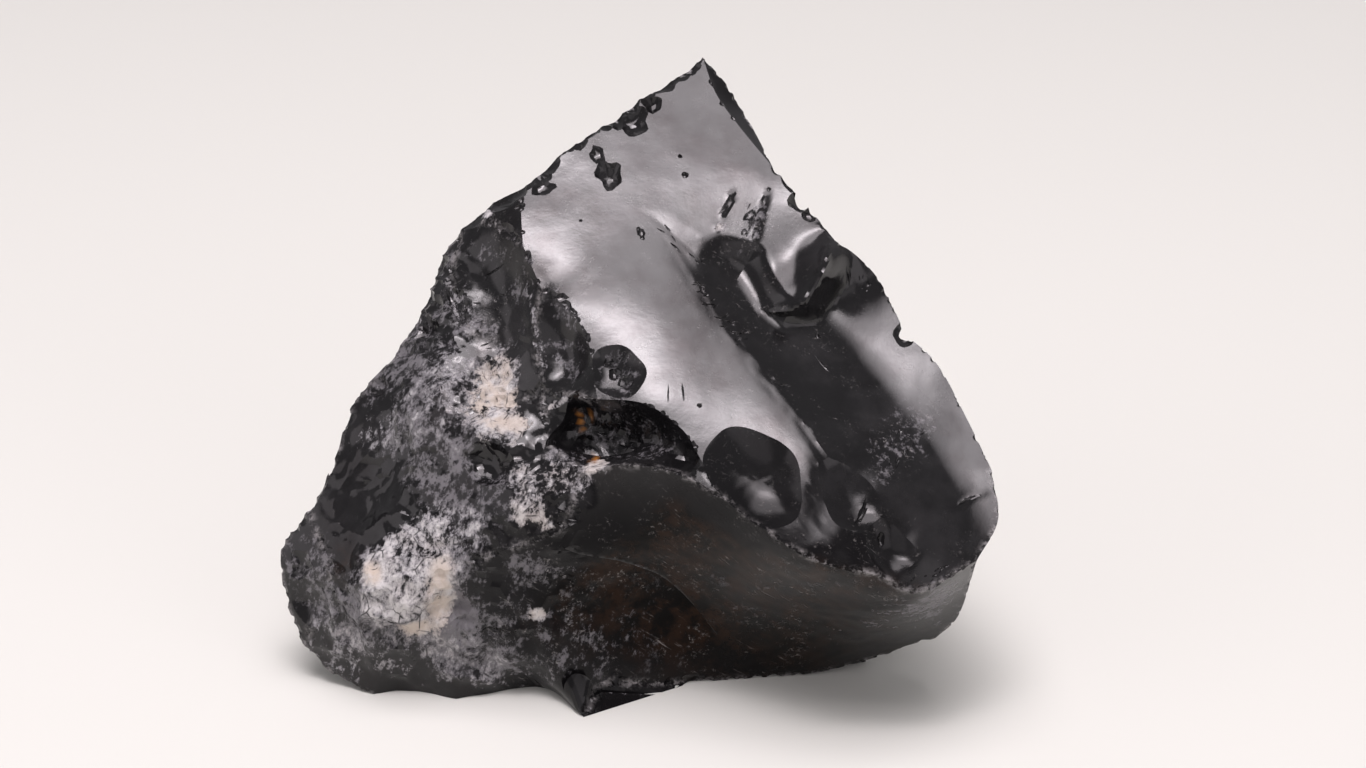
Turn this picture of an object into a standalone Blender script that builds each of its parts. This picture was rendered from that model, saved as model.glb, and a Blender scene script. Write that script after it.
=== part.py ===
"""A chunk of obsidian, one piece of volcanic glass about 45 mm across.

The stone is a shell of fracture facets. Its corners are placed by eye as they are seen from the
front: so far across, so far up, and so far back from a picture plane. Bends give the course of
a ridge between two corners, every facet is one smooth sheet stretched inside its ridges, and
flake scars are then scooped out of the closed shell.
"""

import math

import bmesh
import bpy
import numpy as np
from mathutils import Matrix, Vector, geometry
from mathutils.bvhtree import BVHTree

MM = 0.001

# Driving dimensions, in millimetres and degrees
EYE_DISTANCE = 181.8
EYE_ACROSS = 2.6
EYE_TILT = 26.1
PLANE_HEIGHT = 18.5
PLANE_DEPTH = -3.9
PLANE_ACROSS = 0.44
MESH_STEP = 1.25
RIM_CLEARANCE = 0.6
COURSE_PARTS = 12
SCAR_RINGS = 5
SCAR_SIDES = 22
SCAR_REACH = 1.9
OUTSIDE = 60.0

GLASS_COLOUR = (0.012, 0.011, 0.012, 1.0)
GLASS_ROUGHNESS = 0.12
GLASS_IOR = 1.5

# Corners seen from the front: across, up, back
CORNERS = {
    "apex": (3.8, 19.8, 6.5),
    "shoulder": (8.0, 13.2, 3.2),
    "side edge": (6.2, 16.6, 6.4),
    "right crest": (11.8, 8.7, 1.1),
    "notch": (16.1, 3.0, 1.1),
    "right corner": (21.3, -5.2, -3.0),
    "brow end": (20.4, -10.7, -5.6),
    "right heel": (17.9, -15.4, 3.0),
    "brow middle": (5.2, -7.0, -6.8),
    "brow start": (-3.5, -5.3, -4.4),
    "crest left": (-7.2, 11.9, 2.0),
    "crack top": (-7.1, 8.4, 0.25),
    "crack bend": (-6.0, 5.8, -0.8),
    "bubble": (-2.6, -0.9, -3.9),
    "fold": (-5.9, -0.5, -1.6),
    "left crest": (-10.9, 9.3, 4.2),
    "dark corner": (-9.7, 2.1, 0.8),
    "crust corner": (-8.4, -1.2, -0.5),
    "scar corner": (-5.8, -3.4, -2.6),
    "left edge": (-15.3, 1.2, 3.2),
    "tip top": (-20.1, -7.6, 2.6),
    "tip": (-21.8, -10.7, 3.0),
    "tip foot": (-20.4, -15.8, 3.6),
    "tip inner": (-18.6, -11.6, 0.4),
    "belly": (-14.3, -8.4, -0.9),
    "belly right": (-8.5, -10.2, -3.0),
    "keel top": (-12.4, -11.5, -1.8),
    "keel foot": (-10.5, -16.2, 0.9),
    "foot top": (-2.4, -18.1, 2.2),
}

# Corners behind and below, in the stone's own frame: x, y, z
HIDDEN_CORNERS = {
    "ground front": (3.7, -8.2, 0.0),
    "ground foot": (-3.0, -12.2, 0.0),
    "ground left front": (-10.9, -10.2, 0.0),
    "ground left": (-16.2, -9.6, 0.0),
    "ground back left": (-14.0, 2.5, 0.0),
    "ground back": (-3.5, 10.5, 0.0),
    "ground back right": (10.0, 6.0, 0.0),
    "ground right": (14.5, -5.8, 0.0),
    "back crown": (1.5, 15.8, 20.5),
    "back left": (-12.5, 7.5, 12.5),
    "back right": (13.5, 9.0, 11.5),
}

# Ridges that bend: the points between two corners, as they are seen from the front
BENDS = {
    ("apex", "crest left"): [(-0.8, 16.8, 4.6), (-4.3, 14.4, 3.2)],
    ("crest left", "crack top"): [(-7.2, 10.2, 1.1)],
    ("crack bend", "bubble"): [(-4.4, 4.8, -1.6), (-3.1, 2.4, -2.7)],
    ("bubble", "brow middle"): [(0.3, -1.2, -4.5), (2.6, -2.8, -5.2), (3.7, -4.6, -5.9)],
    ("brow middle", "brow end"): [
        (9.1, -9.9, -8.0), (11.8, -11.1, -8.1), (14.4, -11.6, -7.6), (16.9, -12.6, -7.0),
    ],
    ("apex", "shoulder"): [(4.6, 17.6, 5.35), (6.1, 15.5, 4.3)],
    ("apex", "side edge"): [(5.2, 18.2, 6.6)],
    ("side edge", "shoulder"): [(7.2, 14.8, 5.0)],
    ("shoulder", "right crest"): [(9.8, 11.2, 2.2)],
    ("right crest", "notch"): [(13.2, 7.7, 1.9), (14.6, 6.1, 2.3)],
    ("notch", "right corner"): [(18.0, 1.2, 0.2), (19.7, -1.9, -1.1)],
    ("right corner", "brow end"): [(21.7, -8.2, -4.4)],
    ("brow end", "right heel"): [(19.3, -14.0, 0.4)],
    ("right heel", "ground front"): [(14.2, -16.6, 4.6), (10.6, -17.5, 4.9), (7.0, -17.8, 4.7)],
    ("brow start", "brow middle"): [(-0.8, -4.9, -5.8), (2.2, -5.4, -6.3)],
    ("crack bend", "fold"): [(-6.4, 3.0, -1.0)],
    ("left crest", "crack top"): [(-9.2, 9.9, 2.4)],
    ("crest left", "left crest"): [(-9.0, 11.3, 3.2)],
    ("left crest", "left edge"): [(-12.1, 7.6, 4.6), (-13.4, 4.2, 4.0)],
    ("left crest", "dark corner"): [(-11.4, 5.8, 2.6)],
    ("left edge", "tip top"): [(-17.4, -1.2, 3.4), (-18.6, -4.8, 3.0)],
    ("tip top", "tip"): [(-21.6, -9.6, 2.9)],
    ("tip", "tip foot"): [(-21.5, -13.0, 3.1)],
    ("tip foot", "ground left"): [(-18.6, -17.6, 3.6)],
    ("brow start", "belly right"): [(-4.8, -8.6, -4.3)],
    ("keel top", "keel foot"): [(-11.2, -13.4, -0.9)],
}

# Hidden ridges that bend, in the stone's own frame
HIDDEN_BENDS = {
    ("ground left front", "ground foot"): [(-5.8, -8.8, 0.0)],
    ("apex", "back crown"): [(3.2, 13.8, 28.0)],
    ("back crown", "ground back"): [(-0.5, 14.6, 9.5)],
    ("back right", "ground back right"): [(11.6, 8.4, 5.0)],
    ("back left", "ground back left"): [(-14.6, 5.8, 5.5)],
    ("ground left front", "ground left"): [(-13.4, -9.2, 0.0)],
    ("back crown", "back left"): [(-5.5, 12.4, 17.6)],
    ("right heel", "ground right"): [(14.6, -5.6, 1.2)],
}

# Facets seen from the front: the corners round each and the points its sheet passes through
SEEN_FACETS = {
    "upper face": (
        ["apex", "crest left", "crack top", "crack bend", "bubble", "brow middle", "brow end",
         "right corner", "notch", "right crest", "shoulder"],
        [(0.6, 13.0, 2.7), (-2.0, 8.0, 0.0), (2.0, 5.0, -1.4), (5.0, 1.0, -3.3), (8.0, -3.0, -5.3),
         (10.0, 7.0, 0.0), (14.0, -1.0, -4.0), (17.5, -7.5, -7.2), (7.0, 13.0, 3.0),
         (11.0, 3.0, -2.0)],
    ),
    "side strip": (["apex", "shoulder", "side edge"], []),
    "crest scar": (["crest left", "left crest", "crack top"], []),
    "dark hollow": (
        ["left crest", "dark corner", "crust corner", "fold", "crack bend", "crack top"],
        [(-8.8, 6.4, 2.2), (-8.3, 2.6, 1.0)],
    ),
    "smooth hollow": (["crack bend", "fold", "bubble"], [(-4.5, 2.4, -1.0), (-4.2, 0.6, -1.6)]),
    "black scar": (
        ["fold", "scar corner", "brow start", "brow middle", "bubble"],
        [(-3.4, -2.6, -1.6), (1.0, -3.2, -3.0), (3.0, -4.6, -4.6), (-1.2, -2.2, -2.2)],
    ),
    "crushed upper": (
        ["left crest", "left edge", "tip top", "tip inner", "belly", "belly right", "brow start",
         "scar corner", "fold", "crust corner", "dark corner"],
        [(-11.6, 1.0, 0.4), (-9.2, -2.6, -2.2), (-12.2, -3.8, -0.9), (-16.2, -5.4, 1.1),
         (-5.4, -6.6, -4.4), (-9.6, -6.4, -1.9)],
    ),
    "crushed lower": (
        ["tip inner", "tip foot", "ground left", "ground left front", "keel foot", "keel top",
         "belly"],
        [(-16.4, -11.4, -0.6), (-14.4, -14.6, 0.0)],
    ),
    "tip face": (["tip top", "tip", "tip foot", "tip inner"], [(-20.4, -11.4, 2.0)]),
    "keel face": (["belly", "keel top", "belly right"], []),
    "lower face": (
        ["brow start", "belly right", "keel top", "keel foot", "ground left front", "ground foot",
         "foot top", "ground front", "right heel", "brow end", "brow middle"],
        [(-4.4, -13.0, -0.8), (1.6, -11.4, -1.4), (7.0, -13.6, -0.6), (12.0, -14.2, -1.6),
         (-8.4, -14.6, -0.4), (16.6, -14.0, -2.4)],
    ),
    "foot": (["ground foot", "ground front", "foot top"], []),
}

# Facets out of sight: the corners round each and how deep its middle is hollowed
HIDDEN_FACETS = {
    "under right": (["ground front", "ground right", "right heel"], 0.2),
    "right back": (
        ["right corner", "brow end", "right heel", "ground right", "ground back right",
         "back right", "notch"],
        1.6,
    ),
    "upper right back": (
        ["apex", "side edge", "shoulder", "right crest", "notch", "back right", "back crown"],
        1.8,
    ),
    "back": (["back crown", "back right", "ground back right", "ground back"], 1.6),
    "upper left back": (
        ["apex", "back crown", "back left", "left edge", "left crest", "crest left"],
        1.6,
    ),
    "left back": (["back crown", "ground back", "ground back left", "back left"], 1.5),
    "left side": (
        ["left edge", "back left", "ground back left", "ground left", "tip foot", "tip",
         "tip top"],
        1.6,
    ),
    "base": (
        ["ground front", "ground foot", "ground left front", "ground left", "ground back left",
         "ground back", "ground back right", "ground right"],
        0.0,
    ),
}

# The long ramp down the upper face: its line, its half width, how softly it bends, its drop, the
# course that it starts under, how far it takes to start on the left and on the right of that, and
# how it widens towards its foot
RAMP_LINE = ((5.2, 8.2), (19.0, -10.4))
RAMP_HALF_WIDTH = 2.7
RAMP_BEND = 0.35
RAMP_DROP = 3.1
RAMP_START = [
    (0.5, 8.4), (3.4, 6.9), (5.0, 7.4), (6.4, 7.2), (7.1, 6.0), (7.8, 4.9), (8.8, 4.1),
    (10.4, 4.4), (11.8, 6.4), (12.5, 10.0),
]
RAMP_FADE_LEFT = 2.3
RAMP_FADE_RIGHT = 1.0
RAMP_FADE_TURN = 1.4
RAMP_WIDENS = 3.4
RAMP_WIDENS_FROM = -3.0
RAMP_WIDENS_OVER = 6.0

# The faint fold across the upper face: its line, its slope, how softly it bends and its reach
FOLD_LINE = ((-3.2, 8.2), (3.9, 2.2))
FOLD_SLOPE = 0.085
FOLD_BEND = 0.6
FOLD_REACH = 6.0

# Smooth swells and hollows of the faces in view: across, up, half length, half width, rise, turn
SWELLS = [
    (14.6, -7.4, 3.0, 1.6, 0.5, 70.0),
    (12.0, -9.0, 2.4, 1.2, 0.35, 60.0),
    (17.0, -10.2, 2.2, 1.2, 0.35, 80.0),
    (-9.3, -7.4, 3.2, 2.6, 0.9, 10.0),
    (-12.6, -1.2, 3.4, 2.0, 0.6, 60.0),
    (-14.8, -12.2, 3.2, 2.2, 0.7, 40.0),
    (-10.2, 4.0, 2.6, 1.6, 0.4, 80.0),
    (4.0, -13.0, 8.0, 3.2, -0.5, 155.0),
    (9.0, 7.2, 2.0, 1.6, -0.25, 50.0),
]

# Flake scars on the sides seen from the front: across, up, width, depth, stretch, turn in degrees
SCARS = {
    "thumb bowl": (7.1, -5.6, 5.2, 0.85, 1.34, 128.0),
    "bubble scar": (-1.3, 0.8, 3.4, 0.42, 1.0, 0.0),
    "notch chip": (16.0, 3.0, 1.4, 0.4, 1.2, 100.0),
    "crest bowl": (-0.5, 16.0, 2.1, 0.45, 1.15, 140.0),
    "crest bowl beside": (0.7, 17.0, 1.3, 0.35, 1.1, 150.0),
    "dark bowl": (-1.9, 12.7, 1.7, 0.5, 1.2, 105.0),
    "shoulder chip": (9.8, 11.0, 1.3, 0.45, 1.0, 0.0),
    "amber bowl": (-2.9, -2.9, 3.2, 0.5, 1.0, 0.0),
    "left bowl": (-13.0, 3.4, 1.9, 0.6, 1.0, 0.0),
    "left lower bowl": (-15.8, -0.2, 1.6, 0.5, 1.0, 0.0),
    "smooth hollow in crust": (-16.0, -6.2, 4.6, 0.55, 1.3, 60.0),
    "crust pocket": (-9.2, -4.8, 2.8, 0.9, 1.3, 0.0),
    "lower pocket": (-11.6, -13.4, 2.4, 0.6, 1.2, 80.0),
    "knuckle upper": (13.0, -7.2, 3.6, 0.5, 1.3, 105.0),
    "knuckle lower": (14.9, -9.8, 2.6, 0.45, 1.4, 100.0),
    "lower sweep": (-2.0, -14.0, 6.4, 0.35, 1.4, 150.0),
    "tip swirl": (-20.6, -11.0, 1.9, 0.3, 1.2, 60.0),
    "tip facet": (-19.9, -13.2, 2.6, 0.25, 1.6, 110.0),
}

# Flake scars on the hidden sides: bearing round the stone in degrees, height above the ground,
# width, depth, stretch, turn
HIDDEN_SCARS = {
    "back flake": (172.0, 15.0, 11.0, 1.3, 1.3, 80.0),
    "back flake low": (160.0, 5.5, 8.0, 0.9, 1.2, 20.0),
    "right flake": (112.0, 17.0, 9.0, 1.0, 1.2, 100.0),
    "right flake low": (96.0, 8.0, 7.0, 0.8, 1.3, 10.0),
    "back crest flake": (142.0, 26.0, 7.0, 0.8, 1.2, 60.0),
    "left flake": (238.0, 12.5, 9.5, 1.1, 1.2, 70.0),
    "left flake low": (262.0, 5.0, 6.5, 0.8, 1.3, 160.0),
    "left crest flake": (218.0, 22.0, 7.5, 0.9, 1.2, 120.0),
}


def seen(across, up, back):
    """A point of the stone, in mm, from where it is seen from the front and how far back it is."""
    reach = 1.0 + back / EYE_DISTANCE
    x = EYE_ACROSS + (across - EYE_ACROSS) * reach + PLANE_ACROSS
    tilt = math.radians(EYE_TILT)
    y = back * math.cos(tilt) + up * reach * math.sin(tilt) + PLANE_DEPTH
    z = up * reach * math.cos(tilt) - back * math.sin(tilt) + PLANE_HEIGHT
    return Vector((x, y, z))


def sight(points):
    """Across, up and back of points given in the stone's own frame, one row each."""
    tilt = math.radians(EYE_TILT)
    x, y, z = np.asarray(points).T - [[PLANE_ACROSS], [PLANE_DEPTH], [PLANE_HEIGHT]]
    back = y * math.cos(tilt) - z * math.sin(tilt)
    reach = 1.0 + back / EYE_DISTANCE
    up = (y * math.sin(tilt) + z * math.cos(tilt)) / reach
    return np.column_stack([EYE_ACROSS + (x - EYE_ACROSS) / reach, up, back])


def smooth_step(share):
    share = np.clip(share, 0.0, 1.0)
    return share * share * (3.0 - 2.0 * share)


def beside_line(across, up, line):
    """How far places lie to the left of a line, looking along it."""
    run = np.subtract(line[1], line[0])
    run = run / np.linalg.norm(run)
    return run[0] * (up - line[0][1]) - run[1] * (across - line[0][0])


def beside_course(across, up, course):
    """How far places lie from a course of points, less than 0 on its right, and how far along."""
    points = np.array(course)
    runs = np.diff(points, axis=0)
    lengths = np.linalg.norm(runs, axis=1)
    starts = np.append(0.0, np.cumsum(lengths))
    nearest = np.full(np.shape(across), np.inf)
    side = np.ones(np.shape(across))
    onward = np.zeros(np.shape(across))
    for start, run, length, before in zip(points, runs, lengths, starts):
        east = across - start[0]
        north = up - start[1]
        share = np.clip((east * run[0] + north * run[1]) / length ** 2, 0.0, 1.0)
        gap = np.hypot(east - share * run[0], north - share * run[1])
        closer = gap < nearest
        nearest = np.where(closer, gap, nearest)
        side = np.where(closer, np.sign(run[0] * north - run[1] * east), side)
        onward = np.where(closer, before + share * length, onward)
    return side * nearest, onward / starts[-1]


def soft_ramp(run, bend):
    """A ramp that starts at 0 and bends softly into its slope."""
    return bend * np.logaddexp(0.0, run / bend)


def ramp(across, up):
    """The long ramp, which lies lower on its right side."""
    wider = RAMP_WIDENS * smooth_step((RAMP_WIDENS_FROM - up) / RAMP_WIDENS_OVER)
    right = RAMP_HALF_WIDTH + wider + beside_line(across, up, RAMP_LINE)
    level = soft_ramp(right, RAMP_BEND) - soft_ramp(right - 2 * RAMP_HALF_WIDTH - wider, RAMP_BEND)
    aside, share = beside_course(across, up, RAMP_START)
    sharper = smooth_step(share * RAMP_FADE_TURN)
    reach = RAMP_FADE_LEFT + (RAMP_FADE_RIGHT - RAMP_FADE_LEFT) * sharper
    fade = smooth_step((reach - aside) / (2 * reach))
    return -RAMP_DROP * fade * level / (2 * RAMP_HALF_WIDTH)


def fold(across, up):
    """The faint fold, which lies lower on its left side."""
    left = -beside_line(across, up, FOLD_LINE)
    return -FOLD_SLOPE * (soft_ramp(left, FOLD_BEND) - soft_ramp(left - FOLD_REACH, FOLD_BEND))


def swells(across, up):
    proud = 0.0
    for centre_across, centre_up, half_length, half_width, rise, turn in SWELLS:
        angle = math.radians(turn)
        east = across - centre_across
        north = up - centre_up
        long = (east * math.cos(angle) + north * math.sin(angle)) / half_length
        wide = (north * math.cos(angle) - east * math.sin(angle)) / half_width
        proud = proud + rise * np.exp(-long * long - wide * wide)
    return proud


def eased(points, reliefs, share):
    """Points moved along the line of sight by a share of the reliefs there."""
    places = sight(points)
    for relief in reliefs:
        places[:, 2] -= share * relief(places[:, 0], places[:, 1])
    return np.array([seen(*place) for place in places])


def smooth_course(points, spacing):
    """Points about one spacing apart along a smooth curve through the given points."""
    fine = []
    run = [points[0] * 2 - points[1], *points, points[-1] * 2 - points[-2]]
    for before, start, end, after in zip(run, run[1:], run[2:], run[3:]):
        for part in range(COURSE_PARTS):
            t = part / COURSE_PARTS
            fine.append(
                start
                + (end - before) * (t / 2)
                + (before * 2 - start * 5 + end * 4 - after) * (t * t / 2)
                + (start * 3 - before - end * 3 + after) * (t ** 3 / 2)
            )
    fine.append(points[-1])
    lengths = np.cumsum([0.0] + [(b - a).length for a, b in zip(fine, fine[1:])])
    count = max(2, round(lengths[-1] / spacing))
    places = np.linspace(0.0, lengths[-1], count + 1)
    columns = [np.interp(places, lengths, [p[axis] for p in fine]) for axis in range(3)]
    course = [Vector(p) for p in zip(*columns)]
    course[0] = points[0]
    course[-1] = points[-1]
    return course


def bent_sheet(anchors, heights):
    """The height of a thin springy sheet that passes through every anchor."""
    def pull(distance):
        return distance ** 2 * np.log(distance + 1e-9)

    count = len(anchors)
    flat = np.column_stack([np.ones(count), anchors])
    gaps = np.linalg.norm(anchors[:, None] - anchors[None], axis=2)
    system = np.block([[pull(gaps), flat], [flat.T, np.zeros((3, 3))]])
    weights = np.linalg.solve(system, np.concatenate([heights, np.zeros(3)]))

    def height(places):
        gaps = np.linalg.norm(places[:, None] - anchors[None], axis=2)
        return pull(gaps) @ weights[:count] + weights[count] + places @ weights[count + 1:]

    return height


def inside_points(outline, step):
    """Points of a hexagonal grid that lie inside a closed outline, clear of its rim."""
    low = outline.min(axis=0)
    high = outline.max(axis=0)
    rise = step * math.sqrt(0.75)
    rows = np.arange(low[1] + rise / 2, high[1], rise)
    grid = np.array([
        (x + (step / 2 if row % 2 else 0.0), y)
        for row, y in enumerate(rows)
        for x in np.arange(low[0], high[0], step)
    ])
    start = outline
    end = np.roll(outline, -1, axis=0)
    along = end - start
    offset = grid[:, None] - start[None]
    share = np.clip((offset * along).sum(axis=2) / (along ** 2).sum(axis=1), 0.0, 1.0)
    clear = np.linalg.norm(offset - share[..., None] * along, axis=2).min(axis=1)
    spans = (start[:, 1] > grid[:, None, 1]) != (end[:, 1] > grid[:, None, 1])
    rises = np.where(along[:, 1] == 0.0, 1.0, along[:, 1])
    crossing = start[:, 0] + (grid[:, None, 1] - start[:, 1]) * along[:, 0] / rises
    inside = (spans & (grid[:, None, 0] < crossing)).sum(axis=1) % 2 == 1
    return grid[inside & (clear > step * RIM_CLEARANCE)]


class Shell:
    """The stone's closed skin while its facets are being laid."""

    def __init__(self, step):
        self.step = step
        self.points = []
        self.faces = []
        self.corners = {name: self.add(seen(*place)) for name, place in CORNERS.items()}
        self.corners.update({name: self.add(Vector(p)) for name, p in HIDDEN_CORNERS.items()})
        self.bends = {ends: [seen(*p) for p in run] for ends, run in BENDS.items()}
        self.bends.update({ends: [Vector(p) for p in run] for ends, run in HIDDEN_BENDS.items()})
        self.ridges = {}

    def add(self, point):
        self.points.append(point)
        return len(self.points) - 1

    def ridge(self, start, end):
        """The vertices along the ridge between two corners, made on first use."""
        if (start, end) not in self.ridges:
            bends = self.bends.get((start, end))
            if bends is None:
                bends = self.bends.get((end, start), [])[::-1]
            ends = [self.points[self.corners[start]], self.points[self.corners[end]]]
            course = smooth_course([ends[0], *bends, ends[1]], self.step)
            run = [self.corners[start], *map(self.add, course[1:-1]), self.corners[end]]
            self.ridges[start, end] = run
            self.ridges[end, start] = run[::-1]
        return self.ridges[start, end]

    def lay_facet(self, corners, through, hollow, reliefs):
        """Stretch one facet inside its ridges, through its points or hollowed at its middle."""
        rim = []
        for start, end in zip(corners, corners[1:] + corners[:1]):
            rim += self.ridge(start, end)[:-1]
        ring = eased([self.points[number] for number in rim], reliefs, -1.0)
        centre = ring.mean(axis=0)
        outward = np.cross(ring - centre, np.roll(ring, -1, axis=0) - centre).sum(axis=0)
        outward /= np.linalg.norm(outward)
        right = np.cross((0.0, 0.0, 1.0), outward)
        if np.linalg.norm(right) < 0.1:
            right = np.array((1.0, 0.0, 0.0))
        right /= np.linalg.norm(right)
        axes = np.array((right, np.cross(outward, right), outward))
        local = (ring - centre) @ axes.T
        anchors = local
        if through:
            inner = np.array([seen(*p) for p in through])
            anchors = np.vstack([anchors, (inner - centre) @ axes.T])
        if hollow:
            anchors = np.vstack([anchors, (0.0, 0.0, local[:, 2].mean() - hollow)])
        sheet = bent_sheet(anchors[:, :2], anchors[:, 2])
        flat = local[:, :2]
        numbers = list(rim)
        inner = inside_points(flat, self.step)
        if len(inner):
            lifted = np.column_stack([inner, sheet(inner)]) @ axes + centre
            numbers += [self.add(Vector(p)) for p in eased(lifted, reliefs, 1.0)]
            flat = np.vstack([flat, inner])
        loop = [list(range(len(rim)))]
        found = geometry.delaunay_2d_cdt([Vector(p) for p in flat], [], loop, 1, 1e-7)
        for triangle in found[2]:
            self.faces.append([numbers[found[3][corner][0]] for corner in triangle])


def flake_cutter(name, place, outward, width, depth, stretch, turn):
    """A dished cutter that scoops one flake scar out of the surface at a place."""
    work = bmesh.new()
    rings = []
    for ring in range(1, SCAR_RINGS + 1):
        share = SCAR_REACH * ring / SCAR_RINGS
        circle = []
        for side in range(SCAR_SIDES):
            angle = math.tau * side / SCAR_SIDES
            across = share * width / 2 * math.cos(angle) * stretch
            along = share * width / 2 * math.sin(angle)
            circle.append(work.verts.new((across * MM, along * MM, depth * (share ** 2 - 1) * MM)))
        rings.append(circle)
    deepest = work.verts.new((0.0, 0.0, -depth * MM))
    for left, right in zip(rings[0], rings[0][1:] + rings[0][:1]):
        work.faces.new((deepest, right, left))
    for inner, outer in zip(rings, rings[1:]):
        for side in range(SCAR_SIDES):
            after = (side + 1) % SCAR_SIDES
            work.faces.new((inner[side], inner[after], outer[after], outer[side]))
    work.faces.new(rings[-1])
    bmesh.ops.recalc_face_normals(work, faces=work.faces)
    mesh = bpy.data.meshes.new(name)
    work.to_mesh(mesh)
    work.free()
    cutter = bpy.data.objects.new(name, mesh)
    bpy.context.scene.collection.objects.link(cutter)
    turned = outward.to_track_quat("Z", "Y").to_matrix().to_4x4()
    turned = turned @ Matrix.Rotation(math.radians(turn), 4, "Z")
    cutter.matrix_world = Matrix.Translation(place) @ turned
    cutter.hide_render = True
    cutter.display_type = "WIRE"
    return cutter


def scoop(stone, name, tree, start, aim, size):
    """Cut one scar where a line of sight meets the stone."""
    place, outward, _, _ = tree.ray_cast(start, aim)
    if place is None:
        raise ValueError(f"{name} lies off the stone")
    cutter = flake_cutter(name, place, outward, *size)
    cut = stone.modifiers.new(name, "BOOLEAN")
    cut.operation = "DIFFERENCE"
    cut.solver = "EXACT"
    cut.object = cutter


def scoop_all(stone):
    tree = BVHTree.FromPolygons(
        [v.co for v in stone.data.vertices], [f.vertices for f in stone.data.polygons]
    )
    eye = seen(EYE_ACROSS, 0.0, -EYE_DISTANCE) * MM
    for name, (across, up, *size) in SCARS.items():
        aim = (seen(across, up, 0.0) * MM - eye).normalized()
        scoop(stone, name, tree, eye, aim, size)
    for name, (bearing, height, *size) in HIDDEN_SCARS.items():
        turn = math.radians(bearing)
        out = Vector((math.sin(turn), -math.cos(turn), 0.0))
        start = out * OUTSIDE * MM + Vector((0.0, 0.0, height * MM))
        scoop(stone, name, tree, start, -out, size)


def make_stone():
    shell = Shell(MESH_STEP)
    for name, (corners, through) in SEEN_FACETS.items():
        reliefs = (ramp, fold, swells) if name == "upper face" else (swells,)
        shell.lay_facet(corners, through, 0.0, reliefs)
    for corners, hollow in HIDDEN_FACETS.values():
        shell.lay_facet(corners, [], hollow, ())
    mesh = bpy.data.meshes.new("obsidian_chunk")
    mesh.from_pydata([p * MM for p in shell.points], [], shell.faces)
    mesh.validate()
    work = bmesh.new()
    work.from_mesh(mesh)
    bmesh.ops.recalc_face_normals(work, faces=work.faces)
    work.to_mesh(mesh)
    work.free()
    stone = bpy.data.objects.new("obsidian_chunk", mesh)
    bpy.context.scene.collection.objects.link(stone)
    scoop_all(stone)
    return stone


def glass():
    material = bpy.data.materials.new("obsidian glass")
    material.use_nodes = True
    shader = material.node_tree.nodes["Principled BSDF"]
    shader.inputs["Base Color"].default_value = GLASS_COLOUR
    shader.inputs["Roughness"].default_value = GLASS_ROUGHNESS
    shader.inputs["IOR"].default_value = GLASS_IOR
    material.diffuse_color = GLASS_COLOUR
    return material


for leftover in list(bpy.data.objects):
    bpy.data.objects.remove(leftover, do_unlink=True)
chunk = make_stone()
chunk.data.materials.append(glass())
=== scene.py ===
"""The obsidian chunk as it is seen: glassy fracture faces, chipped edges and a crushed patch."""

import math
import random

import bmesh
import bpy
import numpy as np
from mathutils import Matrix, Vector, geometry, noise
from mathutils.bvhtree import BVHTree
from mathutils.kdtree import KDTree


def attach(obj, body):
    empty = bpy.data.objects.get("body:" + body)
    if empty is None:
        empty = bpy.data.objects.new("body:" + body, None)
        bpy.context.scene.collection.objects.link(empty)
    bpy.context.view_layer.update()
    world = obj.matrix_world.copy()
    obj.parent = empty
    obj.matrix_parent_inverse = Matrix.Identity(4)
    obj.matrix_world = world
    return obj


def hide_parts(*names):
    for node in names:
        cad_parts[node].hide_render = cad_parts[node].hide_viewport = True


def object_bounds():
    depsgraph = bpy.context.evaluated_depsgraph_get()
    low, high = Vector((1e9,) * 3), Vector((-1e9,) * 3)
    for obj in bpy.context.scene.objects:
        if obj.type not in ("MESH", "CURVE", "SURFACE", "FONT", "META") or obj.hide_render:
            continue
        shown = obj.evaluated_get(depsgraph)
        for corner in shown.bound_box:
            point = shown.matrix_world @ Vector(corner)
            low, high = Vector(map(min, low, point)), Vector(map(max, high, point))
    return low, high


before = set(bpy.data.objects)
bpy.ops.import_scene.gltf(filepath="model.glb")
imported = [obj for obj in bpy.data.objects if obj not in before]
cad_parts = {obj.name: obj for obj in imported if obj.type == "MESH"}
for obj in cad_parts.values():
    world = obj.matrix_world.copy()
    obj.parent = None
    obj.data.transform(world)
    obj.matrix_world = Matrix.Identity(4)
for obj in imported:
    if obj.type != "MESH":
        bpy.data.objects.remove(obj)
solid_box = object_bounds()

# The fracture faces
# One piece of volcanic glass, broken out of a larger block. Each face is a crack that ran through
# the glass as a bent sheet, and the faces meet in sharp ridges. Corners and ridges are placed as
# they are seen from the front: so far across, so far up and so far back, in millimetres.

MM = 0.001
RIDGE_STEP = 0.3
CURVE_STEPS = 24
RIM_CLEARANCE = 0.6
AT_ONCE = 2000
SEEN_STEP = 0.3
FINE_STEP = 0.21
HIDDEN_STEP = 0.42
EYE_DISTANCE = 181.8
EYE_ACROSS = 2.6
EYE_TILT = 26.1
PLANE_HEIGHT = 18.5
PLANE_DEPTH = -3.9
PLANE_ACROSS = 0.44

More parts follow.
